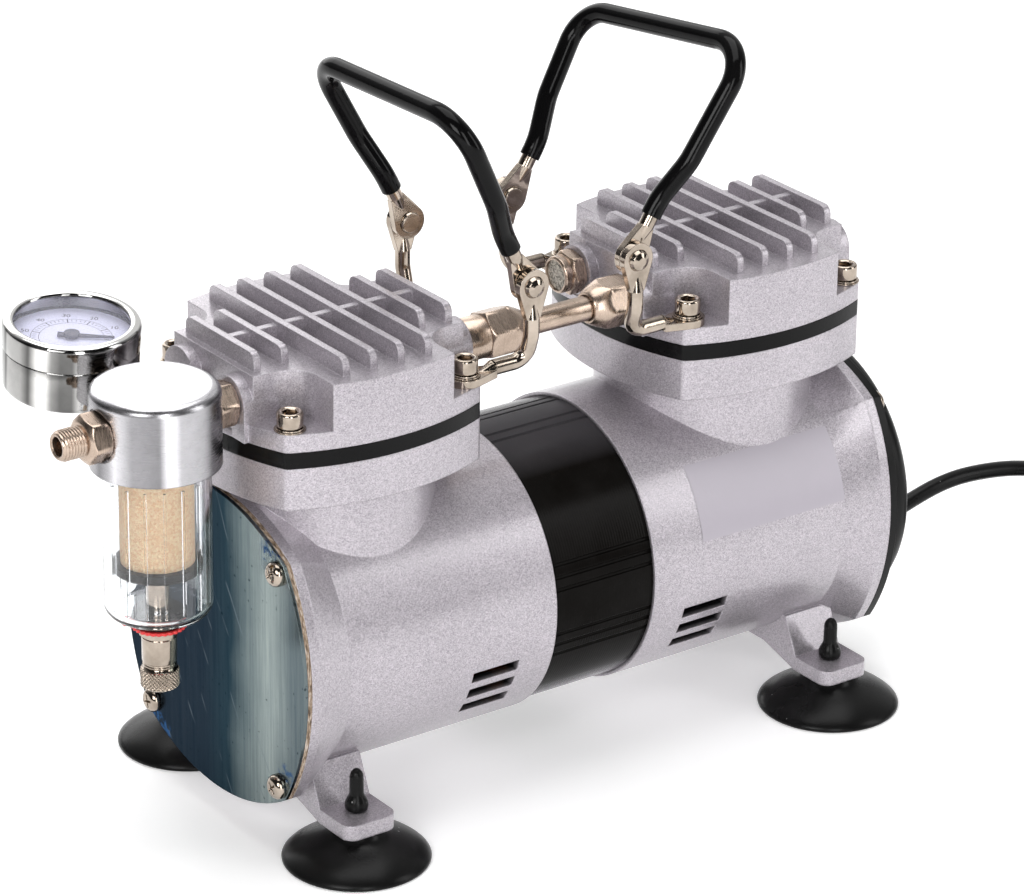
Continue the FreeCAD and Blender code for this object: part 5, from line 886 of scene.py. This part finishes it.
def make_label():
    """Blank film label on the right housing's barrel."""
    mesh = bmesh.new()
    columns, rows = 2, 24
    left, width, radius = 40.6, 60, 47.58
    # Degrees above the shaft's height
    first, last = 12.0, 42.5
    grid = []
    for row in range(rows + 1):
        angle = math.radians(first + (last - first) * row / rows)
        line = []
        for column in range(columns + 1):
            x = left + width * column / columns
            line.append(mesh.verts.new(at(x, -radius * math.cos(angle),
                                          AXIS_HEIGHT + radius * math.sin(angle))))
        grid.append(line)
    for lower, upper in zip(grid, grid[1:]):
        for index in range(columns):
            mesh.faces.new((lower[index], lower[index + 1], upper[index + 1], upper[index]))
    bmesh.ops.recalc_face_normals(mesh, faces=mesh.faces[:])
    finished("rating_film", mesh, "label_film")


make_head_screws()
make_cover_screws()
make_fittings()
make_drain()
make_gauge()
make_cups()
make_label()
for covered, pieces in COVER.items():
    for piece in pieces:
        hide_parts(covered)


# Supply cord: the photographed stretch, then the rest wound into a coil

# The radius in metres; the route and the coil's middle in millimetres
CORD_RADIUS = 0.0027
ROUTE = [(150.75, -12, 41.194), (163, -12, 44.9), (176.5, -12, 46.9), (190, -12, 46.1),
         (203.5, -11.8, 43.9), (216.5, -11, 39.9), (228.5, -9.6, 33.7), (240, -7.6, 26.2),
         (251.5, -5.2, 19.2), (263.5, -5.4, 13.6), (274.5, -10, 9.6)]
COIL = (252, -33)


def make_cord():
    """The whole cord as one tube along the route and round the coil."""
    points = [at(*spot) for spot in ROUTE]
    # Turns in three rings and three layers, clockwise from above, from the outside inwards
    steps, turns = 14, 8.7
    start = math.degrees(math.atan2(ROUTE[-1][1] - COIL[1], ROUTE[-1][0] - COIL[0])) - 24
    # Radius and height of each turn
    ladder = [(35.4, 8.1), (35.4, 2.7), (30.0, 2.7), (24.6, 2.7), (24.6, 8.1), (30.0, 8.1),
              (30.0, 13.5), (24.6, 13.5)]
    for index in range(int(turns * steps)):
        turn = index / steps
        level = min(int(turn), len(ladder) - 1)
        ahead = min(level + 1, len(ladder) - 1)
        share = max(0.0, (turn - level - 0.8) / 0.2) if ahead > level else 0.0
        radius = ladder[level][0] * (1 - share) + ladder[ahead][0] * share
        height = ladder[level][1] * (1 - share) + ladder[ahead][1] * share
        angle = math.radians(start - 360 * turn)
        points.append(at(COIL[0] + radius * math.cos(angle), COIL[1] + radius * math.sin(angle),
                         height))
    data = bpy.data.curves.new("supply_cord", "CURVE")
    data.dimensions = "3D"
    spline = data.splines.new("NURBS")
    spline.points.add(len(points) - 1)
    for point, spot in zip(spline.points, points):
        point.co = (*spot, 1)
    spline.order_u = 3
    spline.use_endpoint_u = True
    spline.resolution_u = 6
    data.bevel_depth = CORD_RADIUS
    data.bevel_resolution = 6
    data.use_fill_caps = True
    made = bpy.data.objects.new("supply_cord", data)
    bpy.context.scene.collection.objects.link(made)
    data.materials.append(LOOKS["black_rubber"])
    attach(made, "pump")
    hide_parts("cord_tube", "cord_coil")
    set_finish(made, "black_rubber")


make_cord()
